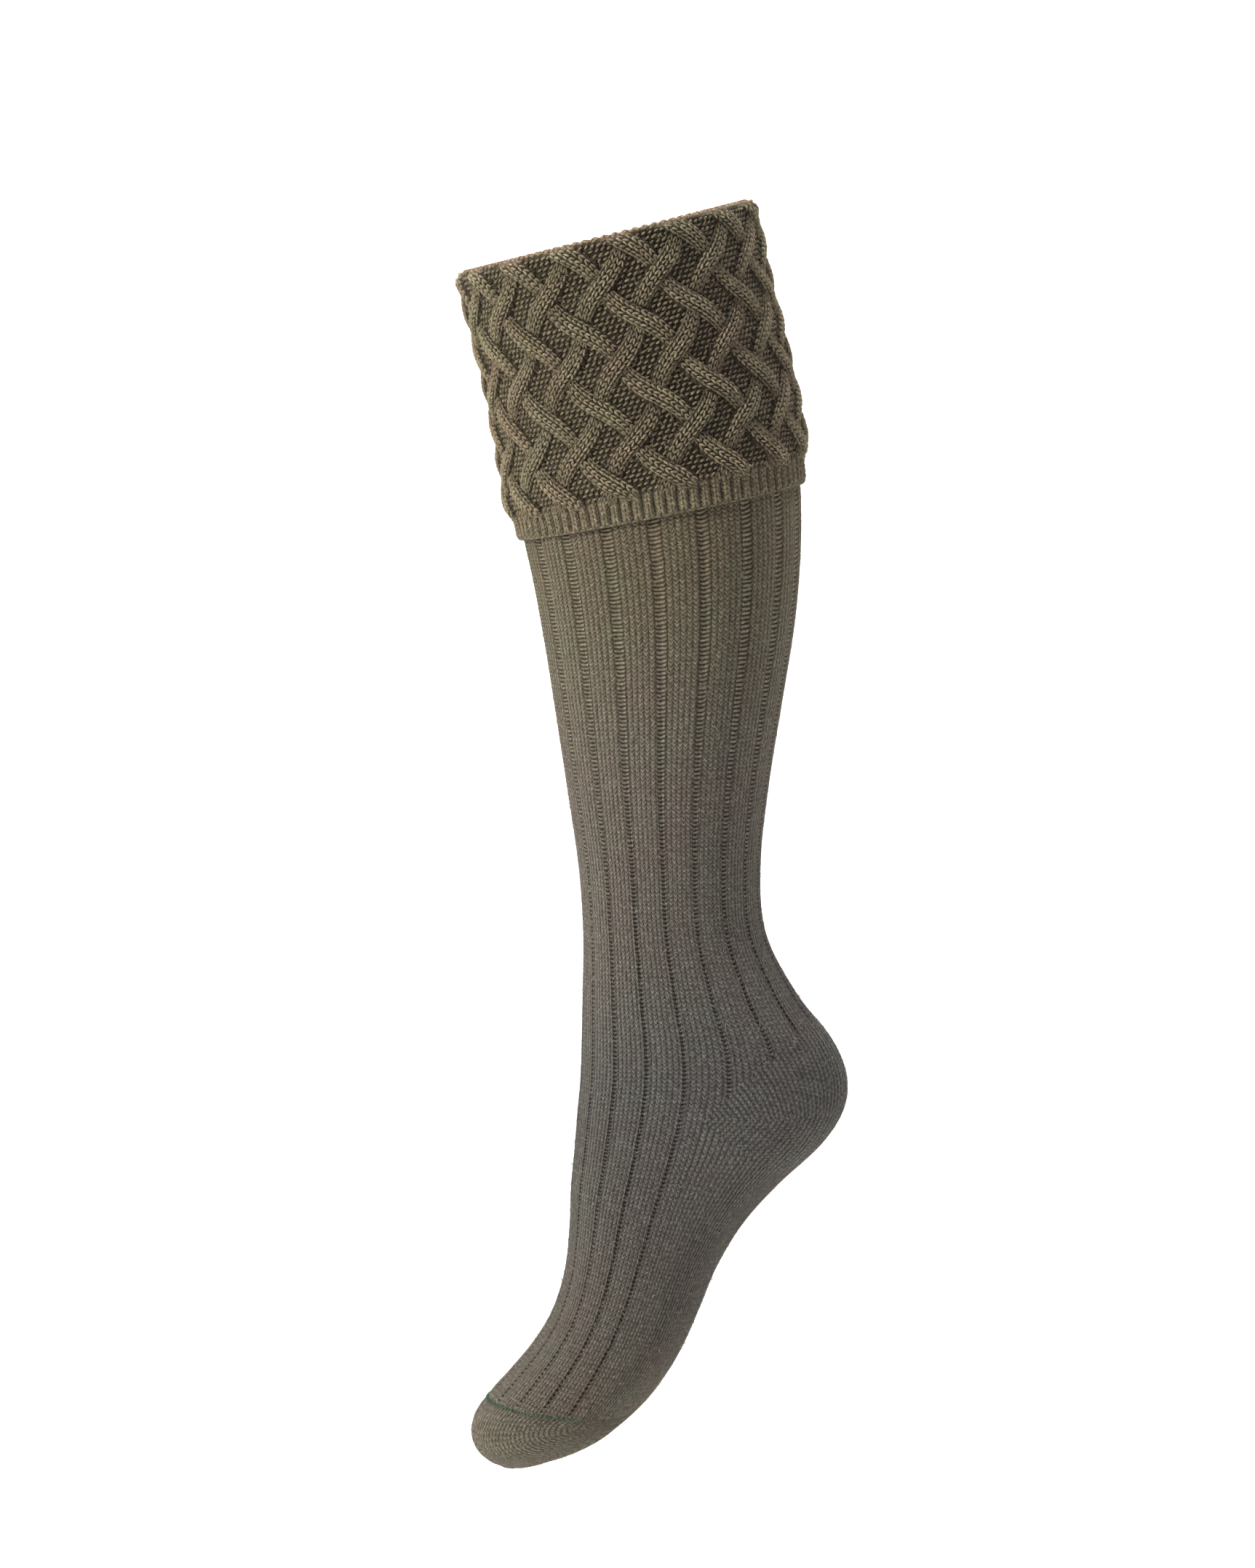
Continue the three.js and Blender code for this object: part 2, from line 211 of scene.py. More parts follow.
# Materials
def linearColour(code):
    channels = [int(code[i : i + 2], 16) / 255 for i in (1, 3, 5)]
    return [c / 12.92 if c <= 0.04045 else ((c + 0.055) / 1.055) ** 2.4 for c in channels] + [1]


def addNode(tree, kind, links=None, **settings):
    node = tree.nodes.new(kind)
    for name, value in settings.items():
        setattr(node, name, value)
    for socket, value in (links or {}).items():
        if isinstance(value, bpy.types.NodeSocket):
            tree.links.new(value, node.inputs[socket])
        else:
            node.inputs[socket].default_value = value
    return node


def setRamp(node, stops):
    ramp = node.color_ramp
    while len(ramp.elements) < len(stops):
        ramp.elements.new(0.5)
    for element, (position, code) in zip(ramp.elements, stops):
        element.position = position
        element.color = linearColour(code)
    return node


# Change of tint from the fold down to the toe, multiplied into the yarn's colour: olive at the cuff, taupe
# on the shin, and painted shade that makes it darker and cooler round the heel. Each row is a share of the
# way down and its tint.
tintDepth = 0.58  # metres from the fold to the last share
tintsAndHeelShade = [
    (0.2, "#dadcd7"),
    (0.27, "#d7dfdb"),
    (0.43, "#dee5f9"),
    (0.57, "#d9e4ff"),
    (0.66, "#bfcef0"),
    (0.73, "#c2d0ee"),
    (0.86, "#c8cfe6"),
    (0.95, "#d4dbe5"),
]


# The yarn's colour times the tint down the sock, which holds the painted shade round the heel
def tintedAndHeelShadedColour(tree, colour, place):
    height = addNode(tree, "ShaderNodeSeparateXYZ", {0: place})
    share = addNode(
        tree, "ShaderNodeMapRange", {"Value": height.outputs["Z"], "From Min": 0.0, "From Max": -tintDepth}
    )
    tintAndShade = setRamp(addNode(tree, "ShaderNodeValToRGB", {0: share.outputs[0]}), tintsAndHeelShade)
    mixed = addNode(
        tree,
        "ShaderNodeMix",
        {0: 1.0, 6: colour, 7: tintAndShade.outputs[0]},
        data_type="RGBA",
        blend_type="MULTIPLY",
    )
    return mixed.outputs[2]


# Heathered yarn: fibres of three shades, carded together, with slow drifts to brown and to green
def heatheredColour(tree, yarn, place):
    fibres = addNode(
        tree,
        "ShaderNodeTexNoise",
        {"Vector": place, "Scale": 1 / (yarn["fleck"] * mm), "Detail": 3.0, "Roughness": 0.7},
    )
    stops = [(0.3, yarn["dark"]), (0.5, yarn["middle"]), (0.7, yarn["light"])]
    shade = setRamp(addNode(tree, "ShaderNodeValToRGB", {0: fibres.outputs["Fac"]}), stops)
    drift = addNode(
        tree,
        "ShaderNodeTexNoise",
        {"Vector": place, "Scale": 1 / (yarn["drift"] * mm), "Detail": 2.0, "Roughness": 0.5},
    )
    drifts = [(0.35, yarn["brown"]), (0.65, yarn["green"])]
    cast = setRamp(addNode(tree, "ShaderNodeValToRGB", {0: drift.outputs["Fac"]}), drifts)
    mixed = addNode(
        tree,
        "ShaderNodeMix",
        {0: yarn["cast"], 6: shade.outputs[0], 7: cast.outputs[0]},
        data_type="RGBA",
        blend_type="MULTIPLY",
    )
    return mixed.outputs[2]


woolYarn = {
    "dark": "#645d4f",
    "middle": "#877e6d",
    "light": "#aaa08b",
    "russet": "#8a6750",  # on the edge of the fold
    "brown": "#f6e9e0",
    "green": "#f2f4e4",
    "fleck": 1.5,  # mm, coarser than a real fleck of one fibre, so that it shows
    "drift": 22,  # mm from one cast of colour to the next
    "cast": 0.8,  # how much of the drift is laid over the flecks
    "roughness": 0.92,
    "sheen": 0.25,
    "sheenRoughness": 0.45,
    "sheenTint": "#cfc8b0",
    "specular": 0.15,
}


def woolSurface(tree, yarn, colour, normal):
    links = {
        "Base Color": colour,
        "Roughness": yarn["roughness"],
        "Specular IOR Level": yarn["specular"],
        "Sheen Weight": yarn["sheen"],
        "Sheen Roughness": yarn["sheenRoughness"],
        "Sheen Tint": linearColour(yarn["sheenTint"]),
        "Normal": normal,
    }
    surface = addNode(tree, "ShaderNodeBsdfPrincipled", links)
    addNode(tree, "ShaderNodeOutputMaterial", {"Surface": surface.outputs[0]})


# Fine machine-knitted wool blend, brushed by wear. It gives the eye rows of small V-shaped stitches
# with dark furrows and no shine; the furrows are bump and painted shade, the tops of the stitches painted
# highlight.
# Stitch legs lie in pairs along each wale and lean together; between the ribs two purl wales lie low, with
# the short bars of their stitches across. UV is counted in stitches: U in wales and V in courses. The furrows
# are drawn deeper than real so that they show.
knitting = {
    "legLean": 0.7,  # how far a stitch leg climbs across half a wale, in courses
    "depth": 0.9,  # mm from the top of a stitch to the furrow beside it
    "furrow": 0.15,  # painted shade: brightness at the bottom of a furrow
    "top": 1.25,  # painted highlight: brightness on top of a stitch
    "legRound": 0.55,  # how round a pair of legs is from side to side: less is flatter
    "fluff": 0.7,  # mm, grain of the fuzz
    "fluffShare": 0.2,
    "ladderTop": 1.5,  # height of a purl bar's middle, where a knitted stitch's top is 1; it also sets the bar's painted highlight
    "ladderFall": -1.4,  # its change from the middle to the wall of the channel, which also paints shade on the walls
    "ladderNarrow": 0.45,  # width of the ladder at the ankle, as a share of that at the calf
    "calfEnd": -0.18,  # metres below the fold where the ladder starts to narrow
    "ankleStart": -0.34,  # and where it is at its narrowest
    "bow": 0.35,  # how far the ends of a purl bar hang below its middle, in courses
    "wander": 0.13,  # stitches out of line, in wales
    "wanderScale": 5,  # mm
    "rib": {"course": 0.68, "wale": 0.78},  # how deep the hollows between courses and wales are
    "plain": {"course": 0.55, "wale": 1.0},
}


# On a marked mesh one attribute holds the painted light and shade of each place, multiplied into its colour,
# and "russet" how much of that tint it has
def knitMaterial(name, yarn, ribbed, paintedBrightness=1.0, marked=False):
    material = bpy.data.materials.new(name)
    material.use_nodes = True
    tree = material.node_tree
    tree.nodes.clear()
    place = addNode(tree, "ShaderNodeTexCoord").outputs["Object"]
    uv = addNode(tree, "ShaderNodeUVMap", uv_map="stitches").outputs[0]
    wanderScale = 1 / (knitting["wanderScale"] * mm)
    wander = addNode(tree, "ShaderNodeTexNoise", {"Vector": place, "Scale": wanderScale, "Detail": 1.0})
    centred = addNode(
        tree, "ShaderNodeVectorMath", {0: wander.outputs["Color"], 1: (0.5, 0.5, 0.5)}, operation="SUBTRACT"
    )
    shift = addNode(
        tree,
        "ShaderNodeVectorMath",
        {0: centred.outputs[0], 1: (knitting["wander"] * 2, knitting["wander"] * 5, 0)},
        operation="MULTIPLY",
    )
    moved = addNode(tree, "ShaderNodeVectorMath", {0: uv, 1: shift.outputs[0]}, operation="ADD")
    stitch = addNode(tree, "ShaderNodeSeparateXYZ", {0: moved.outputs[0]})
    kind = knitting["rib" if ribbed else "plain"]
    values = {"wale": stitch.outputs["X"], "course": stitch.outputs["Y"]}
    steps = [
        ("across", "FRACT", "wale"),
        ("off", "SUBTRACT", "across", 0.5),
        ("side", "ABSOLUTE", "off"),
        ("fromMiddle", "MULTIPLY", "side", 2.0),
        ("climb", "MULTIPLY_ADD", "fromMiddle", knitting["legLean"], "course"),
        ("halfTurn", "MULTIPLY", "climb", math.pi),
        ("wave", "SINE", "halfTurn"),
        ("crest", "ABSOLUTE", "wave"),
        ("ridge", "MULTIPLY_ADD", "crest", kind["course"], 1 - kind["course"]),
        ("turn", "MULTIPLY", "fromMiddle", math.pi / 2),
        ("bend", "COSINE", "turn"),
        ("bulge", "MAXIMUM", "bend", 0.0),
        ("round", "POWER", "bulge", knitting["legRound"]),
        ("leg", "MULTIPLY_ADD", "round", kind["wale"], 1 - kind["wale"]),
        ("knit", "MULTIPLY", "ridge", "leg"),
    ]
    if ribbed:
        placeZ = addNode(tree, "ShaderNodeSeparateXYZ", {0: place}).outputs["Z"]
        values["narrow"] = addNode(
            tree,
            "ShaderNodeMapRange",
            {
                "Value": placeZ,
                "From Min": knitting["calfEnd"],
                "From Max": knitting["ankleStart"],
                "To Min": 1.0,
                "To Max": knitting["ladderNarrow"],
            },
        ).outputs[0]
        steps += [
            ("ribs", "MULTIPLY", "wale", 1 / walesPerRib),
            ("inRib", "FRACT", "ribs"),
            ("inPurl", "MULTIPLY_ADD", "inRib", walesPerRib, -1.0),
            ("fromChannel", "ABSOLUTE", "inPurl"),
            ("toWall", "DIVIDE", "fromChannel", "narrow"),
            ("purl", "LESS_THAN", "toWall", 1.0),
            ("bowed", "POWER", "toWall", 2.0),
            ("rung", "MULTIPLY_ADD", "bowed", knitting["bow"], "course"),
            ("rungTurn", "MULTIPLY", "rung", math.pi),
            ("rungWave", "SINE", "rungTurn"),
            ("rungCrest", "ABSOLUTE", "rungWave"),
            ("wallFall", "POWER", "toWall", 3.0),
            ("barRound", "MULTIPLY_ADD", "wallFall", knitting["ladderFall"], knitting["ladderTop"]),
            ("bar", "MULTIPLY", "rungCrest", "barRound"),
        ]
    for step, operation, *terms in steps:
        links = {socket: values.get(term, term) for socket, term in enumerate(terms)}
        values[step] = addNode(tree, "ShaderNodeMath", links, operation=operation).outputs[0]
    height = values["knit"]
    if ribbed:
        links = {0: values["purl"], 2: height, 3: values["bar"]}
        height = addNode(tree, "ShaderNodeMix", links, data_type="FLOAT").outputs[0]
    fluff = addNode(
        tree,
        "ShaderNodeTexNoise",
        {"Vector": place, "Scale": 1 / (knitting["fluff"] * mm), "Detail": 3.0, "Roughness": 0.75},
    )
    relief = addNode(
        tree,
        "ShaderNodeMath",
        {0: fluff.outputs["Fac"], 1: knitting["fluffShare"], 2: height},
        operation="MULTIPLY_ADD",
    ).outputs[0]
    bump = addNode(
        tree, "ShaderNodeBump", {"Strength": 1.0, "Distance": knitting["depth"] * mm, "Height": relief}
    )
    colour = tintedAndHeelShadedColour(tree, heatheredColour(tree, yarn, place), place)
    # Painted light and shade: the stitch's height sets a brightness, dark in the furrows, a painted highlight
    # on the tops, multiplied into the colour
    light = addNode(
        tree,
        "ShaderNodeMapRange",
        {"Value": height, "To Min": knitting["furrow"] * paintedBrightness, "To Max": knitting["top"] * paintedBrightness},
        clamp=False,
    ).outputs[0]
    if marked:
        share = addNode(tree, "ShaderNodeAttribute", attribute_name="russet").outputs["Fac"]
        russet = linearColour(yarn["russet"])
        colour = addNode(tree, "ShaderNodeMix", {0: share, 6: colour, 7: russet}, data_type="RGBA").outputs[2]
        level = addNode(tree, "ShaderNodeAttribute", attribute_name="level").outputs["Fac"]
        light = addNode(tree, "ShaderNodeMath", {0: light, 1: level}, operation="MULTIPLY").outputs[0]
    shaded = addNode(tree, "ShaderNodeVectorMath", {0: colour, "Scale": light}, operation="SCALE")
    woolSurface(tree, yarn, shaded.outputs[0], bump.outputs[0])
    return material


# Soft wool-blend yarn seen on its own, in a stitch leg or a purl bar. It gives the eye a dull, fuzzy
# thread whose bump stands for the fibres. Each stitch carries its own painted light and shade, multiplied
# into its colour.
yarnFuzz = {"grain": 0.5, "depth": 0.25}  # mm


def yarnMaterial(name, yarn, paintedBrightness=1.0):
    material = bpy.data.materials.new(name)
    material.use_nodes = True
    tree = material.node_tree
    tree.nodes.clear()
    place = addNode(tree, "ShaderNodeTexCoord").outputs["Object"]
    level = addNode(tree, "ShaderNodeAttribute", attribute_name="level").outputs["Fac"]
    fluff = addNode(
        tree,
        "ShaderNodeTexNoise",
        {"Vector": place, "Scale": 1 / (yarnFuzz["grain"] * mm), "Detail": 3.0, "Roughness": 0.75},
    )
    bump = addNode(
        tree,
        "ShaderNodeBump",
        {"Strength": 1.0, "Distance": yarnFuzz["depth"] * mm, "Height": fluff.outputs["Fac"]},
    )
    colour = tintedAndHeelShadedColour(tree, heatheredColour(tree, yarn, place), place)
    light = addNode(tree, "ShaderNodeMath", {0: level, 1: paintedBrightness}, operation="MULTIPLY").outputs[0]
    shaded = addNode(tree, "ShaderNodeVectorMath", {0: colour, "Scale": light}, operation="SCALE")
    woolSurface(tree, yarn, shaded.outputs[0], bump.outputs[0])
    return material


# One heathered wool blend, knitted in ribs, knitted plain, behind the cables and in the cables. The
# separate stitches of the cables are painted brighter than the close fabric, which is painted darker as if
# its furrows held back light.
ribWool = knitMaterial("ribKnitWool", woolYarn, ribbed=True, paintedBrightness=0.87)
plainWool = knitMaterial("plainKnitWool", woolYarn, ribbed=False, paintedBrightness=0.87)
groundWool = knitMaterial("cuffGroundWool", woolYarn, ribbed=False, paintedBrightness=1.4, marked=True)
cableWool = yarnMaterial("cableWool", woolYarn, paintedBrightness=1.45)
print("materials: ready")


# Small helpers for pieces
def objectOf(name, mesh, material):
    piece = bpy.data.objects.new(name, mesh)
    collection.objects.link(piece)
    mesh.materials.clear()
    mesh.materials.append(material)
    return piece


# The evaluated mesh in place of the modifiers
def finished(piece):
    bpy.context.view_layer.update()
    graph = bpy.context.evaluated_depsgraph_get()
    mesh = bpy.data.meshes.new_from_object(piece.evaluated_get(graph), depsgraph=graph)
    mesh.name = piece.name
    old = piece.data
    piece.modifiers.clear()
    piece.data = mesh
    bpy.data.meshes.remove(old)
    return piece


def kept(piece, slot, *nodes):
    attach(piece, "root")
    if nodes:
        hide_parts(*nodes)
    print(f"{piece.name}: {sum(len(p.vertices) - 2 for p in piece.data.polygons)} triangles")
    return piece


# Leg and foot, knitted as one body and cut into its panels
knitted = {
    "ribs": 18,
    "columnsPerWale": 4,
    "course": 1.93,  # mm
    "heelWale": 2.4,  # mm, plain fabric of the heel pocket
    "toeWale": 2.2,
    "ribDepth": 1.4,  # mm from the crown of a rib to the purl channel
    "channelCalf": 3.3,  # half of a channel, in degrees round the leg
    "channelAnkle": 1.6,
    "crown": 0.25,  # mm that the middle of a rib stands over its sides
    "waleRelief": 0.2,  # mm from the middle of a wale to the furrow beside it
    "heelRise": 41,  # degrees
    "heelFall": 38,
    "ribFade": 4,  # mm over which the ribs run out into plain fabric
    "tipSteps": 5,  # rings that close the tip of the toe
    "tipRound": 1.1,  # mm that they stand out
    "heelCourses": 60,  # the lower half of the heel counts its courses down from this
    "toeHub": 14,  # mm behind the end of the seam, where the toe's courses fan out
    "toeRadius": 45,
    "toeHalfWidth": 40,
}
columnCount = knitted["ribs"] * walesPerRib * knitted["columnsPerWale"]
cuff = {
    "depth": 128,
    "wall": 3.3,
    "ease": 0.4,
    "relief": 3.0,  # height of a cable over the ground
    "step": 17.5,  # mm from one row of crossings to the next
    "firstCrossing": 3.5,
    "repeats": 16,
    "turn": 6,  # degrees that the lattice is turned past the near side
    "hem": 14,  # the short ribbed hem at the lower edge
    "hemDraw": 1.6,
    "hemRelief": 0.85,
    "foldLength": 6,
    "foldRound": 2.6,
}
legTop = cuff["foldLength"] / lean
cuffEdge = cuff["depth"] / lean
hemTop = cuff["depth"] - cuff["hem"]

drops = np.concatenate([
    np.linspace(legTop, cuffEdge - 4, 12)[:-1],
    np.linspace(cuffEdge - 4, goreDrop, 68)[:-1],
    np.linspace(goreDrop, seamDrop, 44)[:-1],
    np.linspace(seamDrop, tipDrop, 16),
])


def bodyGrid():
    betas = -180 + np.arange(columnCount) * 360 / columnCount
    d, beta = np.meshgrid(drops, betas, indexing="ij")
    phi = stitchAngle(beta, d)
    wales = np.arange(columnCount) / knitted["columnsPerWale"]
    rib = 360 / knitted["ribs"]
    toChannel = np.abs((beta + rib / 2) % rib - rib / 2)
    calm = smoothstep(d, cuffEdge, ankleDrop)
    half = knitted["channelCalf"] + (knitted["channelAnkle"] - knitted["channelCalf"]) * calm
    t = np.clip(toChannel / half, 0, 1)
    channel = (1 - t * t) ** 2
    crown = np.cos(np.clip((toChannel - half) / (rib / 2 - half), 0, 1) * math.pi / 2 + math.pi) + 1
    at = formPoint(d, phi)
    rise = math.radians(knitted["heelRise"])
    aboveHeel = (at[..., 2] - gore[2]) * math.cos(rise) - (at[..., 0] - gore[0]) * math.sin(rise)
    back = np.abs(beta) > 90
    fade = knitted["ribFade"]
    ribbed = np.where(back, smoothstep(aboveHeel, -fade, fade), smoothstep((at - seamEnd) @ seamUp, 0, fade))
    height = ribbed * (knitted["crown"] * crown - knitted["ribDepth"] * channel)
    height += knitted["waleRelief"] * (0.5 - np.cos(2 * math.pi * wales)[None, :] / 2 - 0.5)
    return raised(d, phi, height)


def bodyMesh():
    points = bodyGrid()
    ring = points[-1]
    tipSteps, tipRound = knitted["tipSteps"], knitted["tipRound"]
    middle = ring.mean(0)
    tip = [points]
    for i in range(1, tipSteps):
        turn = math.pi / 2 * i / tipSteps
        lowered = middle + (ring - middle) * math.cos(turn) + np.array([0, 0, -tipRound * math.sin(turn)])
        tip.append(lowered[None])
    points = np.concatenate(tip)
    rows = len(points)
    courses = np.concatenate([[0], np.cumsum(np.diff(drops))]) / knitted["course"]
    courses = np.concatenate([courses, courses[-1] + np.arange(1, tipSteps) * 0.6])
    bm = bmesh.new()
    uvLayer = bm.loops.layers.uv.new("stitches")
    backFlag = bm.faces.layers.int.new("back")
    verts = [[bm.verts.new(p * mm) for p in row] for row in points]
    pole = bm.verts.new((middle + np.array([0, 0, -tipRound - 0.05])) * mm)
    perWale = knitted["columnsPerWale"]
    for i in range(rows - 1):
        for j in range(columnCount):
            k = (j + 1) % columnCount
            face = bm.faces.new((verts[i][j], verts[i][k], verts[i + 1][k], verts[i + 1][j]))
            corners = ((j, i), (j + 1, i), (j + 1, i + 1), (j, i + 1))
            for loop, (column, row) in zip(face.loops, corners):
                loop[uvLayer].uv = (column / perWale + 1, courses[row])
            face[backFlag] = 1 if j < columnCount // 4 or j >= 3 * columnCount // 4 else 0
            face.smooth = True
    for j in range(columnCount):
        k = (j + 1) % columnCount
        face = bm.faces.new((verts[-1][j], verts[-1][k], pole))
        for loop, column in zip(face.loops, (j, j + 1, j + 0.5)):
            loop[uvLayer].uv = (column / perWale + 1, courses[-1])
        face[backFlag] = 1 if j < columnCount // 4 or j >= 3 * columnCount // 4 else 0
        face.smooth = True
    bm.normal_update()
    probe = verts[rows // 2][columnCount // 2]  # a vertex at the front, whose normal has to point to -X
    if probe.normal.x > 0:
        bmesh.ops.reverse_faces(bm, faces=bm.faces[:])
    return bm


def direction(angle):
    turn = math.radians(angle)
    return np.array([math.cos(turn), 0, math.sin(turn)])


def bisected(bm, point, normal, clear):
    bmesh.ops.bisect_plane(
        bm,
        geom=bm.verts[:] + bm.edges[:] + bm.faces[:],
        dist=1e-7,
        plane_co=Vector(point * mm),
        plane_no=Vector(normal),
        clear_inner=clear,
    )


# The part of the body on one half (back 0 or 1) that is above every plane. A plane is a point and
# the direction of the fabric that stays.
def cutFrom(body, back, planes):
    bm = body.copy()
    flag = bm.faces.layers.int["back"]
    if back is not None:
        gone = [face for face in bm.faces if face[flag] != back]
        bmesh.ops.delete(bm, geom=gone, context="FACES")
    for point, normal in planes:
        bisected(bm, point, normal, True)
    return bm


def joined(parts):
    bm = bmesh.new()
    bm.loops.layers.uv.new("stitches")
    for part in parts:
        mesh = bpy.data.meshes.new("part")
        part.to_mesh(mesh)
        bm.from_mesh(mesh)
        bpy.data.meshes.remove(mesh)
        part.free()
    bmesh.ops.remove_doubles(bm, verts=bm.verts[:], dist=2e-6)
    return bm


# Length of a quarter ellipse with half axes a and b from its a end to the parameter t
def ellipseArc(a, b, t, steps=16):
    total = np.zeros_like(t)
    for i in range(steps):
        u = t * (i + 0.5) / steps
        total += np.hypot(a * np.sin(u), b * np.cos(u)) * t / steps
    return total


def uvLoops(bm):
    layer = bm.loops.layers.uv["stitches"]
    loops = [loop for face in bm.faces for loop in face.loops]
    return layer, loops


# The heel pocket: its courses run parallel to its two edges and meet in a mitre along the gore
def heelStitches(bm):
    layer, loops = uvLoops(bm)
    at = np.array([loop.vert.co for loop in loops]) / mm
    centres = np.array([loop.face.calc_center_median().z for loop in loops]) / mm
    profile = formPoint(np.linspace(300, 470, 240), 180)
    result = np.zeros((len(loops), 2))
    for upper in (True, False):
        angle = knitted["heelRise"] if upper else -knitted["heelFall"]
        along = direction(angle)
        away = direction(angle - 90 if upper else angle + 90)
        x, v = (at - gore) @ along, (at - gore) @ away
        backX, backV = (profile - gore) @ along, (profile - gore) @ away
        order = np.argsort(backV)
        reach = np.interp(v, backV[order], backX[order])
        halfWidth = form["heelWidth"] / 2
        t = np.arctan2(np.abs(at[:, 1]) / halfWidth, np.maximum(x, 0) / np.maximum(reach, 1))
        u = ellipseArc(reach, halfWidth, t) / knitted["heelWale"] + 0.5
        course = v / knitted["course"] if upper else knitted["heelCourses"] - v / knitted["course"]
        mask = (centres >= gore[2]) == upper
        result[mask] = np.stack([u, course], -1)[mask]
    for loop, uv in zip(loops, result):
        loop[layer].uv = uv


# The toe: its courses fan out from beside the end of the seam, and its wales run over the tip
def toeStitches(bm):
    layer, loops = uvLoops(bm)
    at = np.array([loop.vert.co for loop in loops]) / mm
    hub = seamEnd + direction(seamTilt) * knitted["toeHub"]
    relative = at - hub
    out = -direction(seamTilt)
    down = direction(seamTilt - 90)
    turn = np.arctan2(relative @ down, relative @ out)
    radius = np.hypot(relative @ down, relative @ out)
    downFront = np.linspace(seamDrop - 40, tipDrop, 200)
    sweep = np.concatenate([downFront, downFront[::-1]])
    sides = np.concatenate([np.zeros(200), np.full(200, 180.0)])
    profile = formPoint(sweep, sides) - hub
    profileTurn = np.arctan2(profile @ down, profile @ out)
    profileRadius = np.hypot(profile @ down, profile @ out)
    order = np.argsort(profileTurn)
    reach = np.interp(turn, profileTurn[order], profileRadius[order])
    halfWidth = float(knitted["toeHalfWidth"])
    t = np.arctan2(np.abs(at[:, 1]) / halfWidth, radius / np.maximum(reach, 1))
    u = ellipseArc(reach, np.full_like(reach, halfWidth), t) / knitted["toeWale"] + 0.5
    for loop, uv in zip(loops, np.stack([u, turn * knitted["toeRadius"] / knitted["course"]], -1)):
        loop[layer].uv = uv


def clothPiece(name, bm, material, slot, node):
    mesh = bpy.data.meshes.new(name)
    bm.to_mesh(mesh)
    bm.free()
    piece = objectOf(name, mesh, material)
    wall = piece.modifiers.new("wall", "SOLIDIFY")
    wall.thickness = form["wall"] * mm
    wall.offset = -1
    finished(piece)
    piece.data.set_sharp_from_angle(angle=math.radians(55))
    return kept(piece, slot, node)


body = bodyMesh()
upward, downward = np.array([0, 0, 1.0]), np.array([0, 0, -1.0])
heelUpNormal = direction(knitted["heelRise"] + 90)
heelLowNormal = direction(90 - knitted["heelFall"])
seamNormal = direction(seamTilt + 90)
clothPiece(
    "legTube",
    joined([cutFrom(body, 0, [(gore, upward)]), cutFrom(body, 1, [(gore, heelUpNormal)])]),
    ribWool,
    "rib_knit",
    "leg",
)
heelPart = cutFrom(body, 1, [(gore, -heelUpNormal), (gore, heelLowNormal)])
bisected(heelPart, gore, upward, False)
heelStitches(heelPart)
clothPiece("heelPocket", heelPart, plainWool, "plain_knit", "heel")
clothPiece(
    "instepPanel", cutFrom(body, 0, [(gore, downward), (seamEnd, seamNormal)]), ribWool, "rib_knit", "instep"
)
clothPiece(
    "solePanel",
    cutFrom(body, 1, [(gore, -heelLowNormal), (seamEnd, seamNormal)]),
    plainWool,
    "plain_knit",
    "sole",
)
toePart = cutFrom(body, None, [(seamEnd, -seamNormal)])
toeStitches(toePart)
clothPiece("toeCap", toePart, plainWool, "plain_knit", "toe")
body.free()
print("leg and foot: made")

# Cuff: the ground fabric with the relief of two sets of crossing strands
lattice = {
    "columns": 432,
    "rowStep": 1.05,  # mm between rows of the mesh
    "swing": 0.5,  # how much a strand stands up between crossings, 0 for a straight one
    "taper": 0.24,  # how much narrower a strand is where it passes under the other
    "halfWidth": 4.8,  # mm
    "edge": 2.6,  # how square the top of a strand is
    "low": 0.8,  # mm, height of a strand where it passes under the other
    "ribs": 80,  # ridges round the hem
    "scallops": 88,  # small bulges of the stitches round the fold
    "scallopHeight": 0.9,
    "edgeRound": 1.4,  # rounding of the hem's lower edge
    "crossing": 14.0,  # mm on the flat pattern between neighbouring crossings
    "walesRound": 160,
    "pitch": 2.95,  # mm between stitches along a strand
    "wales": (-3.05, 0.0, 3.05),  # mm from the middle of a strand
    "ground": 0.2,  # painted shade: brightness of the ground fabric between the purl bars
    "hemPaintedLight": 0.3,  # painted light that the hem adds to it
    "ridgePaintedLight": 0.4,  # and the painted light that its ridges add
}
crossingTurn = 180 / cuff["repeats"]  # degrees between neighbouring crossings
crossingWidth = lattice["crossing"]
ground = cuff["ease"] + cuff["wall"]
cablesFade = (hemTop - 2, hemTop + 5)  # mm below the fold where the cables run out into the hem
foldFade = (0.5, 5)


# Sideways place of a strand on the flat pattern, q crossing steps below its middle
def strandX(q):
    return crossingWidth * (q + lattice["swing"] / math.pi * np.sin(math.pi * q))


def strandSlope(q):
    return crossingWidth / cuff["step"] * (1 + lattice["swing"] * np.cos(math.pi * q))


# Height of a strand's middle, q steps from where it lies on top
def strandTop(q, falling):
    wave = (0.5 + 0.5 * np.cos(math.pi * q)) ** (0.75 if falling else 1.0)
    return lattice["low"] + (cuff["relief"] - lattice["low"]) * wave


# Share of its full width that a strand has, narrowest where it passes under
def strandWidth(q):
    return 1 - lattice["taper"] * (0.5 - 0.5 * np.cos(math.pi * q))


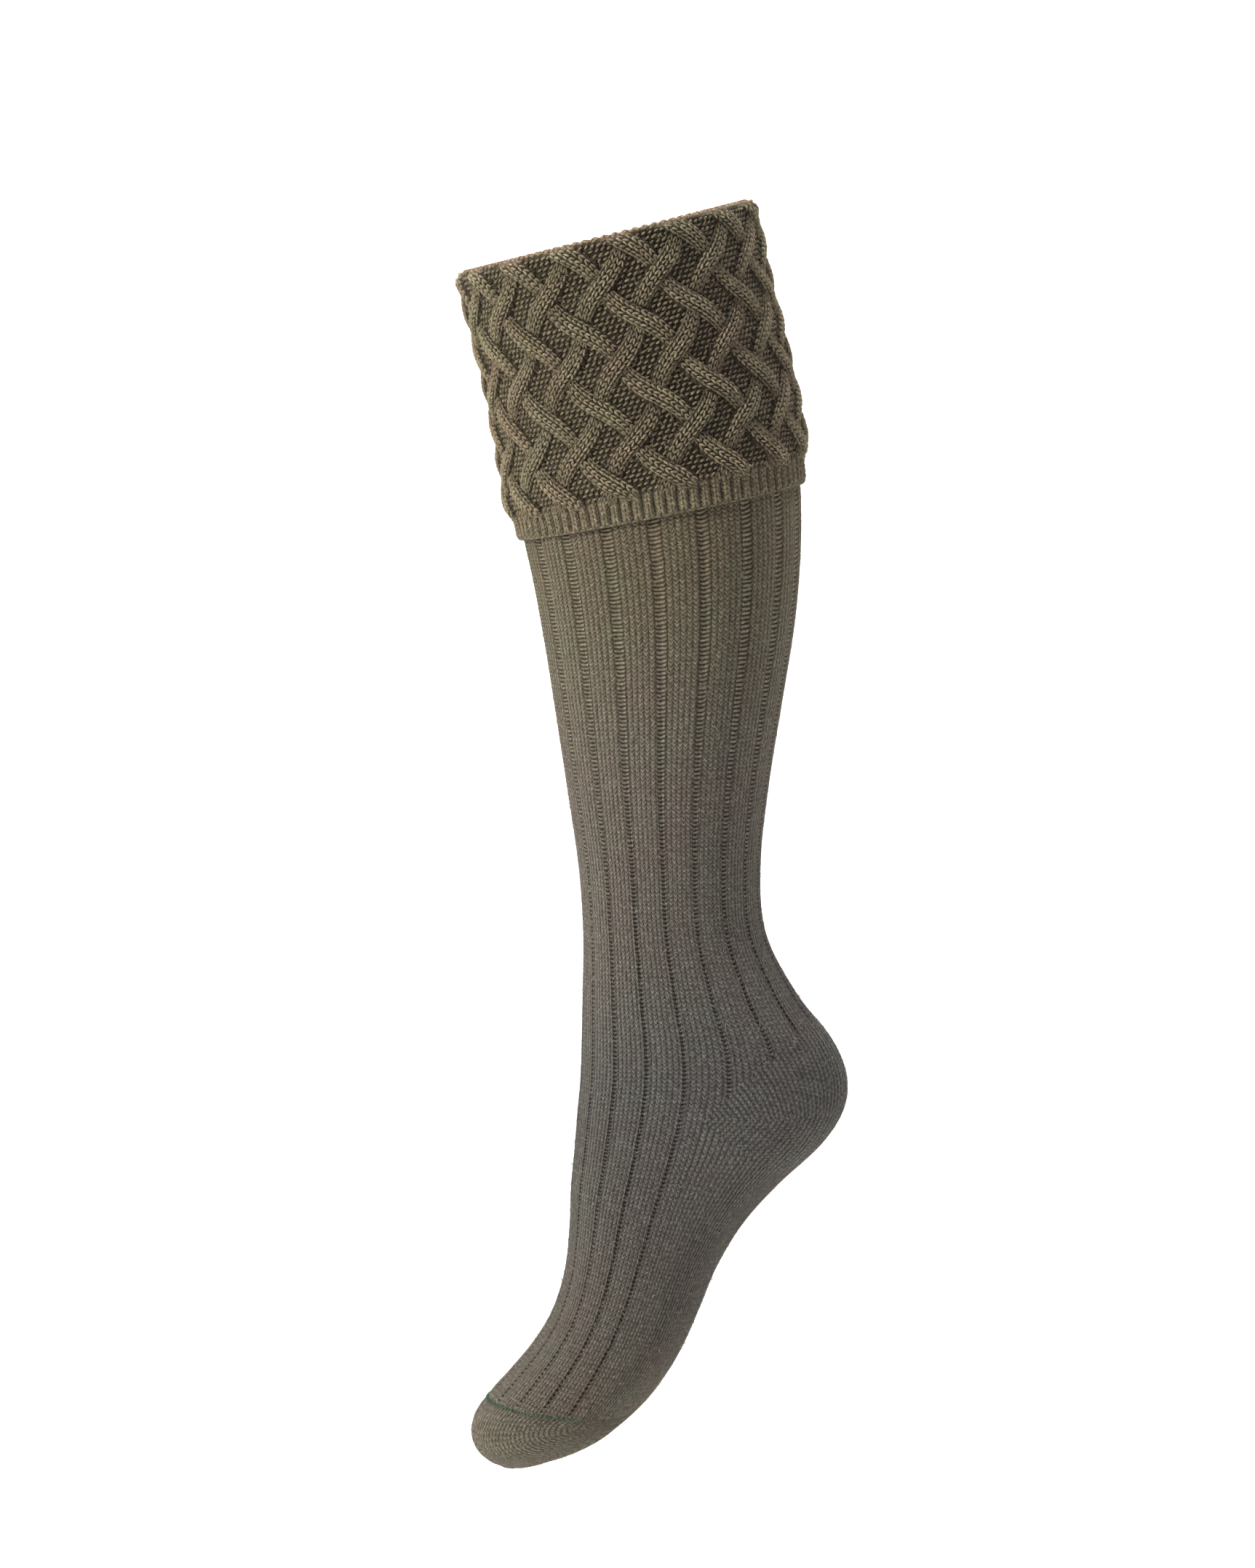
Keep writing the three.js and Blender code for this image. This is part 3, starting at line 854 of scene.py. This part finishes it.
# Distance across a strand and its height at a place of the flat pattern
def strandAt(x, length, falling):
    q = (length - cuff["firstCrossing"]) / cuff["step"]
    if falling:
        centre = strandX(q)
        sideways = (x - centre + crossingWidth) % (2 * crossingWidth) - crossingWidth
    else:
        q = q - 1
        centre = -crossingWidth - strandX(q)
        sideways = (x - centre + crossingWidth) % (2 * crossingWidth) - crossingWidth
    # strands of the same lean lie over at crossings two steps apart, one strand in two a step later
    away = sideways / np.hypot(1, strandSlope(q))
    share = np.abs(away / (lattice["halfWidth"] * strandWidth(q)))
    profile = np.clip(1 - share ** lattice["edge"], 0, 1) ** 0.55
    return away, strandTop(q, falling) * profile, profile


def flatX(phi):
    return (phi - 90 - cuff["turn"]) / crossingTurn * crossingWidth


def angleOf(x):
    return 90 + cuff["turn"] + x / crossingWidth * crossingTurn


def reliefAt(x, length):
    _, fall, fallProfile = strandAt(x, length, True)
    _, rise, riseProfile = strandAt(x, length, False)
    show = smoothstep(length, *foldFade) * (1 - smoothstep(length, *cablesFade))
    return np.maximum(fall, rise) * show, np.maximum(fallProfile, riseProfile) * show


def hemHeight(phi, length):
    turn = lattice["ribs"] * np.radians(phi)
    ridge = (0.5 + 0.5 * np.cos(turn)) ** 0.8
    into = smoothstep(length, *cablesFade)
    draw = cuff["hemDraw"] * smoothstep(length, hemTop - 4, hemTop + 7)
    return into * cuff["hemRelief"] * ridge - draw


def cuffPoint(phi, length, height):
    return raised(np.asarray(length) / lean, phi, height)


def cuffMesh():
    n = lattice["columns"]
    phi = np.arange(n) * 360 / n
    rows, levels, russets = [], [], []

    # Each row carries its own painted light and shade, multiplied into the colour; round the fold it is
    # lighter on the scallops' bulges
    def addRow(length, height, level, russet=0.0):
        russets.append(np.full(n, russet))
        length = np.broadcast_to(np.asarray(length, float), (n,))
        rows.append(cuffPoint(phi, length, np.broadcast_to(np.asarray(height, float), (n,))))
        levels.append(np.broadcast_to(np.asarray(level, float), (n,)))

    courses = []
    wall, fold = form["wall"], cuff["foldRound"]
    for length in np.linspace(cuff["foldLength"] - 0.3, fold, 3):
        addRow(length, -wall, 0.8)
        courses.append(-length - 4)
    middle, half = (ground - wall) / 2, (ground + wall) / 2
    scallop = 0.5 + 0.5 * np.cos(np.radians(phi) * lattice["scallops"])
    for turn in np.linspace(math.pi, 0, 11)[1:-1]:
        bulge = lattice["scallopHeight"] * scallop * math.sin(turn)
        length = fold - (fold + bulge - 0.3) * math.sin(turn)
        addRow(length, middle + half * math.cos(turn), 0.5 + 0.3 * scallop, 0.75 * math.sin(turn) ** 2)
        courses.append(-4 + math.cos(turn) * 4)
    edge = lattice["edgeRound"]
    for length in np.arange(fold, cuff["depth"] - edge, lattice["rowStep"]):
        x = flatX(phi)
        relief, profile = reliefAt(x, length)
        height = ground + relief + hemHeight(phi, length)
        inHem = smoothstep(length, hemTop - 2, hemTop + 4)
        ridge = 0.5 + 0.5 * np.cos(lattice["ribs"] * np.radians(phi))
        # painted light and shade: the ground lies dark between the cables, the hem and most of all its ridges
        # lighter
        level = lattice["ground"] + 0.02 * profile * (1 - inHem)
        level = level + inHem * (lattice["hemPaintedLight"] + lattice["ridgePaintedLight"] * ridge)
        addRow(length, height, level)
        courses.append(length)
    outer = ground + hemHeight(phi, cuff["depth"])
    inner = cuff["ease"]
    mid, halfEdge = (outer + inner) / 2, (outer - inner) / 2
    for turn in np.linspace(0, math.pi, 6)[1:]:
        length = cuff["depth"] - edge + edge * math.sin(turn)
        addRow(length, mid + halfEdge * math.cos(turn), 0.6)
        courses.append(cuff["depth"] + turn)
    for length in np.linspace(cuff["depth"] - 3, cuff["foldLength"] - 0.3, 16):
        addRow(length, inner, 0.7)
        courses.append(2 * cuff["depth"] + 4 - length)
    points = np.stack(rows) * mm
    count = len(points)
    bm = bmesh.new()
    uvLayer = bm.loops.layers.uv.new("stitches")
    names = ("level", "russet")
    for name in names:
        bm.verts.layers.float.new(name)
    verts = [[bm.verts.new(p) for p in row] for row in points]
    for name, values in zip(names, (levels, russets)):
        layer = bm.verts.layers.float[name]
        for row, rowValues in zip(verts, values):
            for vert, value in zip(row, rowValues):
                vert[layer] = value
    for i in range(count):
        below = (i + 1) % count
        for j in range(n):
            k = (j + 1) % n
            face = bm.faces.new((verts[i][j], verts[below][j], verts[below][k], verts[i][k]))
            bottom = courses[below] if below else courses[i] + 1
            corners = ((j, courses[i]), (j, bottom), (j + 1, bottom), (j + 1, courses[i]))
            for loop, (column, course) in zip(face.loops, corners):
                loop[uvLayer].uv = (column * lattice["walesRound"] / n, course / knitted["course"])
            face.smooth = True
    bmesh.ops.recalc_face_normals(bm, faces=bm.faces[:])
    mesh = bpy.data.meshes.new("cuffGround")
    bm.to_mesh(mesh)
    bm.free()
    return mesh


cuffGround = objectOf("cuffGround", cuffMesh(), groundWool)
cuffGround.data.set_sharp_from_angle(angle=math.radians(70))
kept(cuffGround, "cable_knit", "cuff")
print("cuff: ground made")


# Stitches set on the fabric
# Geometry Nodes put one leg of yarn on every point, laid along the point's own direction
def stitchTree(material):
    tree = bpy.data.node_groups.new("layStitches", "GeometryNodeTree")
    for name, kind in (
        ("Geometry", "NodeSocketGeometry"),
        ("Length", "NodeSocketFloat"),
        ("Width", "NodeSocketFloat"),
        ("Thickness", "NodeSocketFloat"),
        ("Unevenness", "NodeSocketFloat"),
        ("Facets", "NodeSocketInt"),
        ("Seed", "NodeSocketInt"),
    ):
        tree.interface.new_socket(name, in_out="INPUT", socket_type=kind)
    tree.interface.new_socket("Geometry", in_out="OUTPUT", socket_type="NodeSocketGeometry")
    inputs = addNode(tree, "NodeGroupInput").outputs
    grain = addNode(tree, "GeometryNodeMeshIcoSphere", {"Radius": 0.5, "Subdivisions": inputs["Facets"]})
    smooth = addNode(tree, "GeometryNodeSetShadeSmooth", {"Geometry": grain.outputs["Mesh"]})
    size = addNode(
        tree,
        "ShaderNodeCombineXYZ",
        {0: inputs["Length"], 1: inputs["Width"], 2: inputs["Thickness"]},
    )
    leg = addNode(
        tree, "GeometryNodeTransform", {"Geometry": smooth.outputs[0], "Scale": size.outputs[0]}
    )
    outward = addNode(tree, "GeometryNodeInputNamedAttribute", {"Name": "outward"}, data_type="FLOAT_VECTOR")
    along = addNode(tree, "GeometryNodeInputNamedAttribute", {"Name": "along"}, data_type="FLOAT_VECTOR")
    upright = addNode(
        tree, "FunctionNodeAlignRotationToVector", {"Vector": outward.outputs[0]}, axis="Z"
    )
    laid = addNode(
        tree,
        "FunctionNodeAlignRotationToVector",
        {"Rotation": upright.outputs[0], "Vector": along.outputs[0]},
        axis="X",
        pivot_axis="Z",
    )
    least = addNode(tree, "ShaderNodeMath", {0: 1.0, 1: inputs["Unevenness"]}, operation="SUBTRACT")
    most = addNode(tree, "ShaderNodeMath", {0: 1.0, 1: inputs["Unevenness"]}, operation="ADD")
    scale = addNode(
        tree,
        "FunctionNodeRandomValue",
        {"Min": least.outputs[0], "Max": most.outputs[0], "Seed": inputs["Seed"]},
        data_type="FLOAT",
    )
    placedLegs = addNode(
        tree,
        "GeometryNodeInstanceOnPoints",
        {
            "Points": inputs["Geometry"],
            "Instance": leg.outputs[0],
            "Rotation": laid.outputs[0],
            "Scale": scale.outputs[1],
        },
    )
    real = addNode(tree, "GeometryNodeRealizeInstances", {"Geometry": placedLegs.outputs[0]})
    dressed = addNode(
        tree, "GeometryNodeSetMaterial", {"Geometry": real.outputs[0], "Material": material}
    )
    addNode(tree, "NodeGroupOutput", {0: dressed.outputs[0]})
    return tree


def layStitches(name, stitches, sizes, material, slot, seed=7, facets=1):
    at, outward, along, level = stitches
    mesh = bpy.data.meshes.new(name)
    mesh.from_pydata((at * mm).tolist(), [], [])
    for attribute, values in (("outward", outward), ("along", along)):
        layer = mesh.attributes.new(attribute, "FLOAT_VECTOR", "POINT")
        layer.data.foreach_set("vector", np.asarray(values, np.float32).ravel())
    mesh.attributes.new("level", "FLOAT", "POINT").data.foreach_set("value", np.asarray(level, np.float32))
    piece = objectOf(name, mesh, material)
    tree = stitchTree(material)
    laying = piece.modifiers.new("stitches", "NODES")
    laying.node_group = tree
    values = {
        "Length": sizes["length"] * mm,
        "Width": sizes["width"] * mm,
        "Thickness": sizes["thickness"] * mm,
        "Unevenness": sizes["unevenness"],
        "Facets": facets,
        "Seed": seed,
    }
    for item in tree.interface.items_tree:
        if item.in_out == "INPUT" and item.name in values:
            laying[item.identifier] = values[item.name]
    finished(piece)
    for attribute in ("outward", "along"):
        found = piece.data.attributes.get(attribute)
        if found:
            piece.data.attributes.remove(found)
    return kept(piece, slot)


# A leg of a cable's stitch, a little longer and thicker than real so that it shows
cableStitch = {
    "length": 3.6,
    "width": 1.08,
    "thickness": 1.4,
    "unevenness": 0.12,
    "spread": 0.68,  # mm from the middle of a wale to each leg
    "splay": 15,  # degrees that a leg leans from the wale
    "proud": 0.12,  # mm that a leg's middle stands over the strand's own surface
    "astray": 0.09,  # radians that legs are out of line
    "under": 0.35,  # mm below the other strand where a leg is still laid
}


# Legs of the stitches of all strands with one lean, three wales to a strand
def strandStitches(falling):
    sign = 1 if falling else -1
    step = 0.25
    places = []
    for strand in range(cuff["repeats"]):
        lengths = np.arange(0.5, hemTop + 4, step)
        start = cuff["firstCrossing"] + (0 if falling else cuff["step"])
        q = (lengths - start) / cuff["step"]
        x = sign * strandX(q) + (0 if falling else -crossingWidth) + strand * 2 * crossingWidth
        slope = sign * strandSlope(q)
        run = np.concatenate([[0], np.cumsum(np.hypot(np.diff(x), np.diff(lengths)))])
        for number, wale in enumerate(lattice["wales"]):
            marks = np.arange(0.5 + 0.33 * number, run[-1], lattice["pitch"])
            for leg in (-1, 1):
                length = np.interp(marks, run, lengths)
                away = (wale + leg * cableStitch["spread"]) * strandWidth((length - start) / cuff["step"])
                centre = np.interp(marks, run, x)
                tilt = np.interp(marks, run, slope)
                norm = np.hypot(1, tilt)
                places.append(np.stack([
                    centre + away / norm,
                    length - away * tilt / norm,
                    tilt / norm,
                    1 / norm,
                    away,
                    np.full_like(marks, leg),
                ], -1))
    x, length, tx, tl, away, leg = np.concatenate(places).T
    _, own, ownProfile = strandAt(x, length, falling)
    _, other, _ = strandAt(x, length, not falling)
    shows = (own > other - cableStitch["under"]) & (ownProfile > 0.02)
    keep = shows & (length > 0.8) & (length < hemTop + 3.5)
    x, length, tx, tl, away, leg, own, other = (
        v[keep] for v in (x, length, tx, tl, away, leg, own, other)
    )
    phi = angleOf(x)
    outward, around, down = directions(length / lean, phi)
    # slope of the strand along and across itself
    probe = 0.4
    _, ahead, _ = strandAt(x + tx * probe, length + tl * probe, falling)
    _, behind, _ = strandAt(x - tx * probe, length - tl * probe, falling)
    _, right, _ = strandAt(x + tl * probe, length - tx * probe, falling)
    _, left, _ = strandAt(x - tl * probe, length + tx * probe, falling)
    climb = (ahead - behind) / (2 * probe)
    roll = np.clip((right - left) / (2 * probe), -1.0, 1.0)
    forward = around * tx[:, None] + down * tl[:, None]
    sideways = around * tl[:, None] - down * tx[:, None]
    tipped = unit(outward - sideways * roll[:, None] - forward * climb[:, None])
    splay = np.radians(cableStitch["splay"]) * leg + random.normal(0, cableStitch["astray"], len(leg))
    heading = forward * np.cos(splay)[:, None] + sideways * np.sin(splay)[:, None]
    heading = unit(heading - tipped * np.sum(heading * tipped, -1, keepdims=True))
    show = smoothstep(length, *foldFade) * (1 - smoothstep(length, *cablesFade))
    height = ground + own * show + hemHeight(phi, length) + cableStitch["proud"]
    at = formPoint(length / lean, phi) + outward * height[:, None]
    # painted light and shade: darker low down, and beside the strand that lies over it
    level = 0.55 + 0.55 * np.clip(own / cuff["relief"], 0, 1) + random.normal(0, 0.08, len(own))
    level = level * (0.5 + 0.5 * smoothstep(own - other, -cableStitch["under"], 1.5))
    return at, tipped, heading, level


layStitches("cableFalling", strandStitches(True), cableStitch, cableWool, "cable_knit", seed=11)
layStitches("cableRising", strandStitches(False), cableStitch, cableWool, "cable_knit", seed=12)

# A purl bar, drawn a little coarser than real so that it shows
purlBar = {
    "length": 2.9,
    "width": 1.2,
    "thickness": 1.4,
    "unevenness": 0.12,
    "rowPitch": 2.3,
    "pitch": 3.1,
    "proud": 0.3,
    "slant": 27,  # degrees that a bar rises towards the back
    "astray": 0.12,  # radians
    # painted light and shade of every bar, multiplied into its colour
    "level": 0.85,
}


# Bars of the purl stitches in the diamonds between the cables, in brick order
def purlBars():
    places = []
    total = 2 * crossingWidth * cuff["repeats"]
    count = round(total / purlBar["pitch"])
    for row, length in enumerate(np.arange(0.9, hemTop + 1, purlBar["rowPitch"])):
        x = (np.arange(count) + (row % 2) / 2) * total / count
        places.append(np.stack([x, np.full(count, length)], -1))
    x, length = np.concatenate(places).T
    _, fall, fallProfile = strandAt(x, length, True)
    _, rise, riseProfile = strandAt(x, length, False)
    keep = np.maximum(fallProfile, riseProfile) < 0.3
    x, length = x[keep], length[keep]
    x = x + random.normal(0, 0.12, len(x))
    length = length + random.normal(0, 0.08, len(x))
    phi = angleOf(x)
    outward, around, down = directions(length / lean, phi)
    height = ground + hemHeight(phi, length) + purlBar["proud"]
    at = formPoint(length / lean, phi) + outward * height[:, None]
    turn = random.normal(-math.radians(purlBar["slant"]), purlBar["astray"], len(x))[:, None]
    along = around * np.cos(turn) + down * np.sin(turn)
    return at, outward, along, purlBar["level"] + random.normal(0, 0.06, len(x))


layStitches("cuffPurls", purlBars(), purlBar, cableWool, "cable_knit", seed=13)

# A leg of the hem's stitches
hemStitch = {
    "length": 2.7,
    "width": 1.4,
    "thickness": 1.2,
    "unevenness": 0.12,
    "pitch": 2.1,
    "spread": 0.68,
    "splay": 26,
    "radius": 66,  # mm, of the cuff at its hem
    # painted light and shade of every hem stitch, multiplied into its colour
    "level": 0.8,
}


# Stitch legs down the ridges of the hem, and the small loops of its lower edge
def hemStitches():
    places = []
    for ridge in range(lattice["ribs"]):
        phi = ridge * 360 / lattice["ribs"]
        for length in np.arange(hemTop + 2.5, cuff["depth"] - 1.2, hemStitch["pitch"]):
            for leg in (-1, 1):
                places.append((phi, length + random.normal(0, 0.1), leg))
    phi, length, leg = np.array(places).T
    perDegree = math.radians(hemStitch["radius"])
    phi = phi + leg * hemStitch["spread"] / perDegree
    outward, around, down = directions(length / lean, phi)
    height = ground + hemHeight(phi, length)
    at = formPoint(length / lean, phi) + outward * height[:, None]
    splay = (np.radians(hemStitch["splay"]) * leg + random.normal(0, 0.1, len(leg)))[:, None]
    along = down * np.cos(splay) + around * np.sin(splay)
    legs = at, outward, along, hemStitch["level"] + random.normal(0, 0.07, len(leg))
    count = lattice["ribs"] * 2
    phi = np.arange(count) * 360 / count
    length = np.full(count, cuff["depth"] - 0.9) + random.normal(0, 0.15, count)
    outward, around, down = directions(length / lean, phi)
    at = formPoint(length / lean, phi) + outward * (ground - cuff["hemDraw"] - 0.3)
    edge = at, unit(outward + down), around, np.full(count, hemStitch["level"])
    return [np.concatenate(pair) for pair in zip(legs, edge)]


layStitches("hemStitches", hemStitches(), hemStitch, cableWool, "cable_knit", seed=14)

# A loop of the linked seam
seamStitch = {
    "length": 1.7,
    "width": 0.7,
    "thickness": 0.8,
    "unevenness": 0.15,
    "pitch": 2.1,
    "rows": ((0.25, 38), (0.95, -38)),  # mm below the end of the instep, and degrees of slant
}
# Smooth dark green worsted thread of the linked seam: a thin line, duller than silk
linkYarn = dict(
    woolYarn, dark="#33473a", middle="#4a6350", light="#627a62", brown="#ffffff", green="#f0ffea", sheen=0.2
)
linkWool = yarnMaterial("linkingYarn", linkYarn)


# The linked seam: slanted loops of a dark green yarn over the end of the instep
def seamStitches():
    side = sectionAt(seamEndDrop)[6]
    fine = np.linspace(-side, side, 600)
    high, low = np.full(600, seamDrop - 20.0), np.full(600, seamDrop + 15.0)
    for _ in range(24):
        d = (high + low) / 2
        above = (formPoint(d, fine) - seamEnd) @ seamUp > 0
        high, low = np.where(above, d, high), np.where(above, low, d)
    path = formPoint(d, fine)
    run = np.concatenate([[0], np.cumsum(np.linalg.norm(np.diff(path, axis=0), axis=1))])
    marks = np.arange(0, run[-1], seamStitch["pitch"])
    phi, d = np.interp(marks, run, fine), np.interp(marks, run, d)
    outward, _, _ = directions(d, phi)
    around = unit(np.stack([np.interp(marks, run, np.gradient(path[:, i])) for i in range(3)], -1))
    down = np.cross(around, outward)
    down = np.where((down @ seamUp)[:, None] > 0, -down, down)
    parts = []
    for lower, slant in seamStitch["rows"]:
        at = formPoint(d, phi) + outward * 0.1 + down * lower
        turn = math.radians(slant)
        along = around * math.cos(turn) + down * math.sin(turn)
        parts.append((at, outward, along, np.full(len(phi), 1.0)))
    return [np.concatenate(pair) for pair in zip(*parts)]


# A loose fibre of the carded yarn, thicker than real so that it shows
fibre = {
    "length": 3.2,
    "width": 0.16,
    "thickness": 0.16,
    "unevenness": 0.45,
    "onCuff": 3500,
    "onLeg": 7500,
    "lift": (0.05, 0.9),  # slope of a fibre off the fabric
    "proud": (0.1, 0.6),  # mm that its middle stands off
    # painted light of a fibre, from a little shaded to half as bright again as the yarn
    "level": (0.8, 1.5),
}


def looseFibres(top, bottom, base, count):
    d, phi = random.uniform(top, bottom, count), random.uniform(-180, 180, count)
    outward, around, down = directions(d, phi)
    turn = random.uniform(0, 2 * math.pi, count)[:, None]
    flat = around * np.cos(turn) + down * np.sin(turn)
    along = unit(flat + outward * random.uniform(*fibre["lift"], count)[:, None])
    upright = unit(outward - along * np.sum(outward * along, -1, keepdims=True))
    at = formPoint(d, phi) + outward * (base + random.uniform(*fibre["proud"], count))[:, None]
    return at, upright, along, random.uniform(*fibre["level"], count)


layStitches(
    "cuffFibres",
    looseFibres(4, cuffEdge - 15, ground + 1.2, fibre["onCuff"]),
    fibre,
    cableWool,
    "cable_knit",
    seed=16,
)
layStitches(
    "legFibres",
    looseFibres(cuffEdge, tipDrop - 3, 0.1, fibre["onLeg"]),
    fibre,
    cableWool,
    "rib_knit",
    seed=17,
)

linkLoops = layStitches(
    "linkingLoops", seamStitches(), seamStitch, linkWool, "linking_yarn", seed=15, facets=2
)
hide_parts("toe_seam")
print("stitches: laid")

# Studio
studio = {
    "camera": (0.0088, -2.8, 0.0),
    "aim": (0.0088, 0.0, -0.2503),
    "frameHeight": 0.7187,  # metres of the picture's height at the sock
    "floor": -0.72,
    "front": -9.0,
    "back": 2.4,
    "sweep": 0.9,  # radius between the floor and the wall
    "width": 16.0,
    "wallTop": 3.2,
    "backdrop": "#f4f4f2",
    "ambient": "#f3ebfb",
    "ambientStrength": 0.34,
}


def aimed(thing, at, target):
    thing.location = at
    thing.rotation_mode = "QUATERNION"
    thing.rotation_quaternion = (Vector(target) - Vector(at)).to_track_quat("-Z", "Y")


cameraData = bpy.data.cameras.new("camera")
camera = bpy.data.objects.new("camera", cameraData)
collection.objects.link(camera)
aimed(camera, studio["camera"], studio["aim"])
distance = (Vector(studio["aim"]) - Vector(studio["camera"])).length
cameraData.sensor_width = 36
cameraData.lens = 18 / (studio["frameHeight"] / 2 / distance)
bpy.context.scene.camera = camera


# A pale floor that sweeps up into the wall behind
def cyclorama():
    floor, back, radius, width = (studio[key] for key in ("floor", "back", "sweep", "width"))
    profile = [(studio["front"], floor)]
    for i in range(17):
        turn = math.pi / 2 * i / 16
        profile.append((back - radius + radius * math.sin(turn), floor + radius - radius * math.cos(turn)))
    profile.append((back, studio["wallTop"]))
    verts = [(x, y, z) for x in (-width / 2, width / 2) for y, z in profile]
    count = len(profile)
    faces = [(i, count + i, count + i + 1, i + 1) for i in range(count - 1)]
    mesh = bpy.data.meshes.new("studioFloor")
    mesh.from_pydata(verts, [], faces)
    mesh.polygons.foreach_set("use_smooth", [True] * len(faces))
    material = bpy.data.materials.new("paleBackdrop")  # matt background paper, all but white
    material.use_nodes = True
    surface = material.node_tree.nodes["Principled BSDF"]
    surface.inputs["Base Color"].default_value = linearColour(studio["backdrop"])
    surface.inputs["Roughness"].default_value = 0.9
    surface.inputs["Specular IOR Level"].default_value = 0.1
    floorPiece = objectOf("studioFloor", mesh, material)


cyclorama()
onSock, onWall = (0, 0, -0.28), (0, 1.6, -0.3)
lights = {
    "key": {"at": (-2.1, -1.4, 1.3), "aim": onSock, "size": 0.6, "power": 88, "colour": "#fcf6ee"},
    "fill": {"at": (1.7, -1.6, 0.2), "aim": onSock, "size": 1.6, "power": 2.5, "colour": "#e2defa"},
    "top": {"at": (0.1, 0.3, 1.7), "aim": onSock, "size": 1.6, "power": 14, "colour": "#ffffff"},
    "wall": {"at": (0.0, 0.9, 1.5), "aim": onWall, "size": 2.2, "power": 75, "colour": "#ffffff"},
}
for name, light in lights.items():
    data = bpy.data.lights.new(name, "AREA")
    data.size = light["size"]
    data.energy = light["power"]
    data.color = linearColour(light["colour"])[:3]
    lamp = bpy.data.objects.new(name, data)
    collection.objects.link(lamp)
    aimed(lamp, light["at"], light["aim"])

world = bpy.data.worlds.new("studioLight")
bpy.context.scene.world = world
world.use_nodes = True
background = world.node_tree.nodes["Background"]
background.inputs["Color"].default_value = linearColour(studio["ambient"])
background.inputs["Strength"].default_value = studio["ambientStrength"]
bpy.context.scene.view_settings.view_transform = "Standard"
bpy.context.scene.view_settings.look = "None"
print("studio: ready")
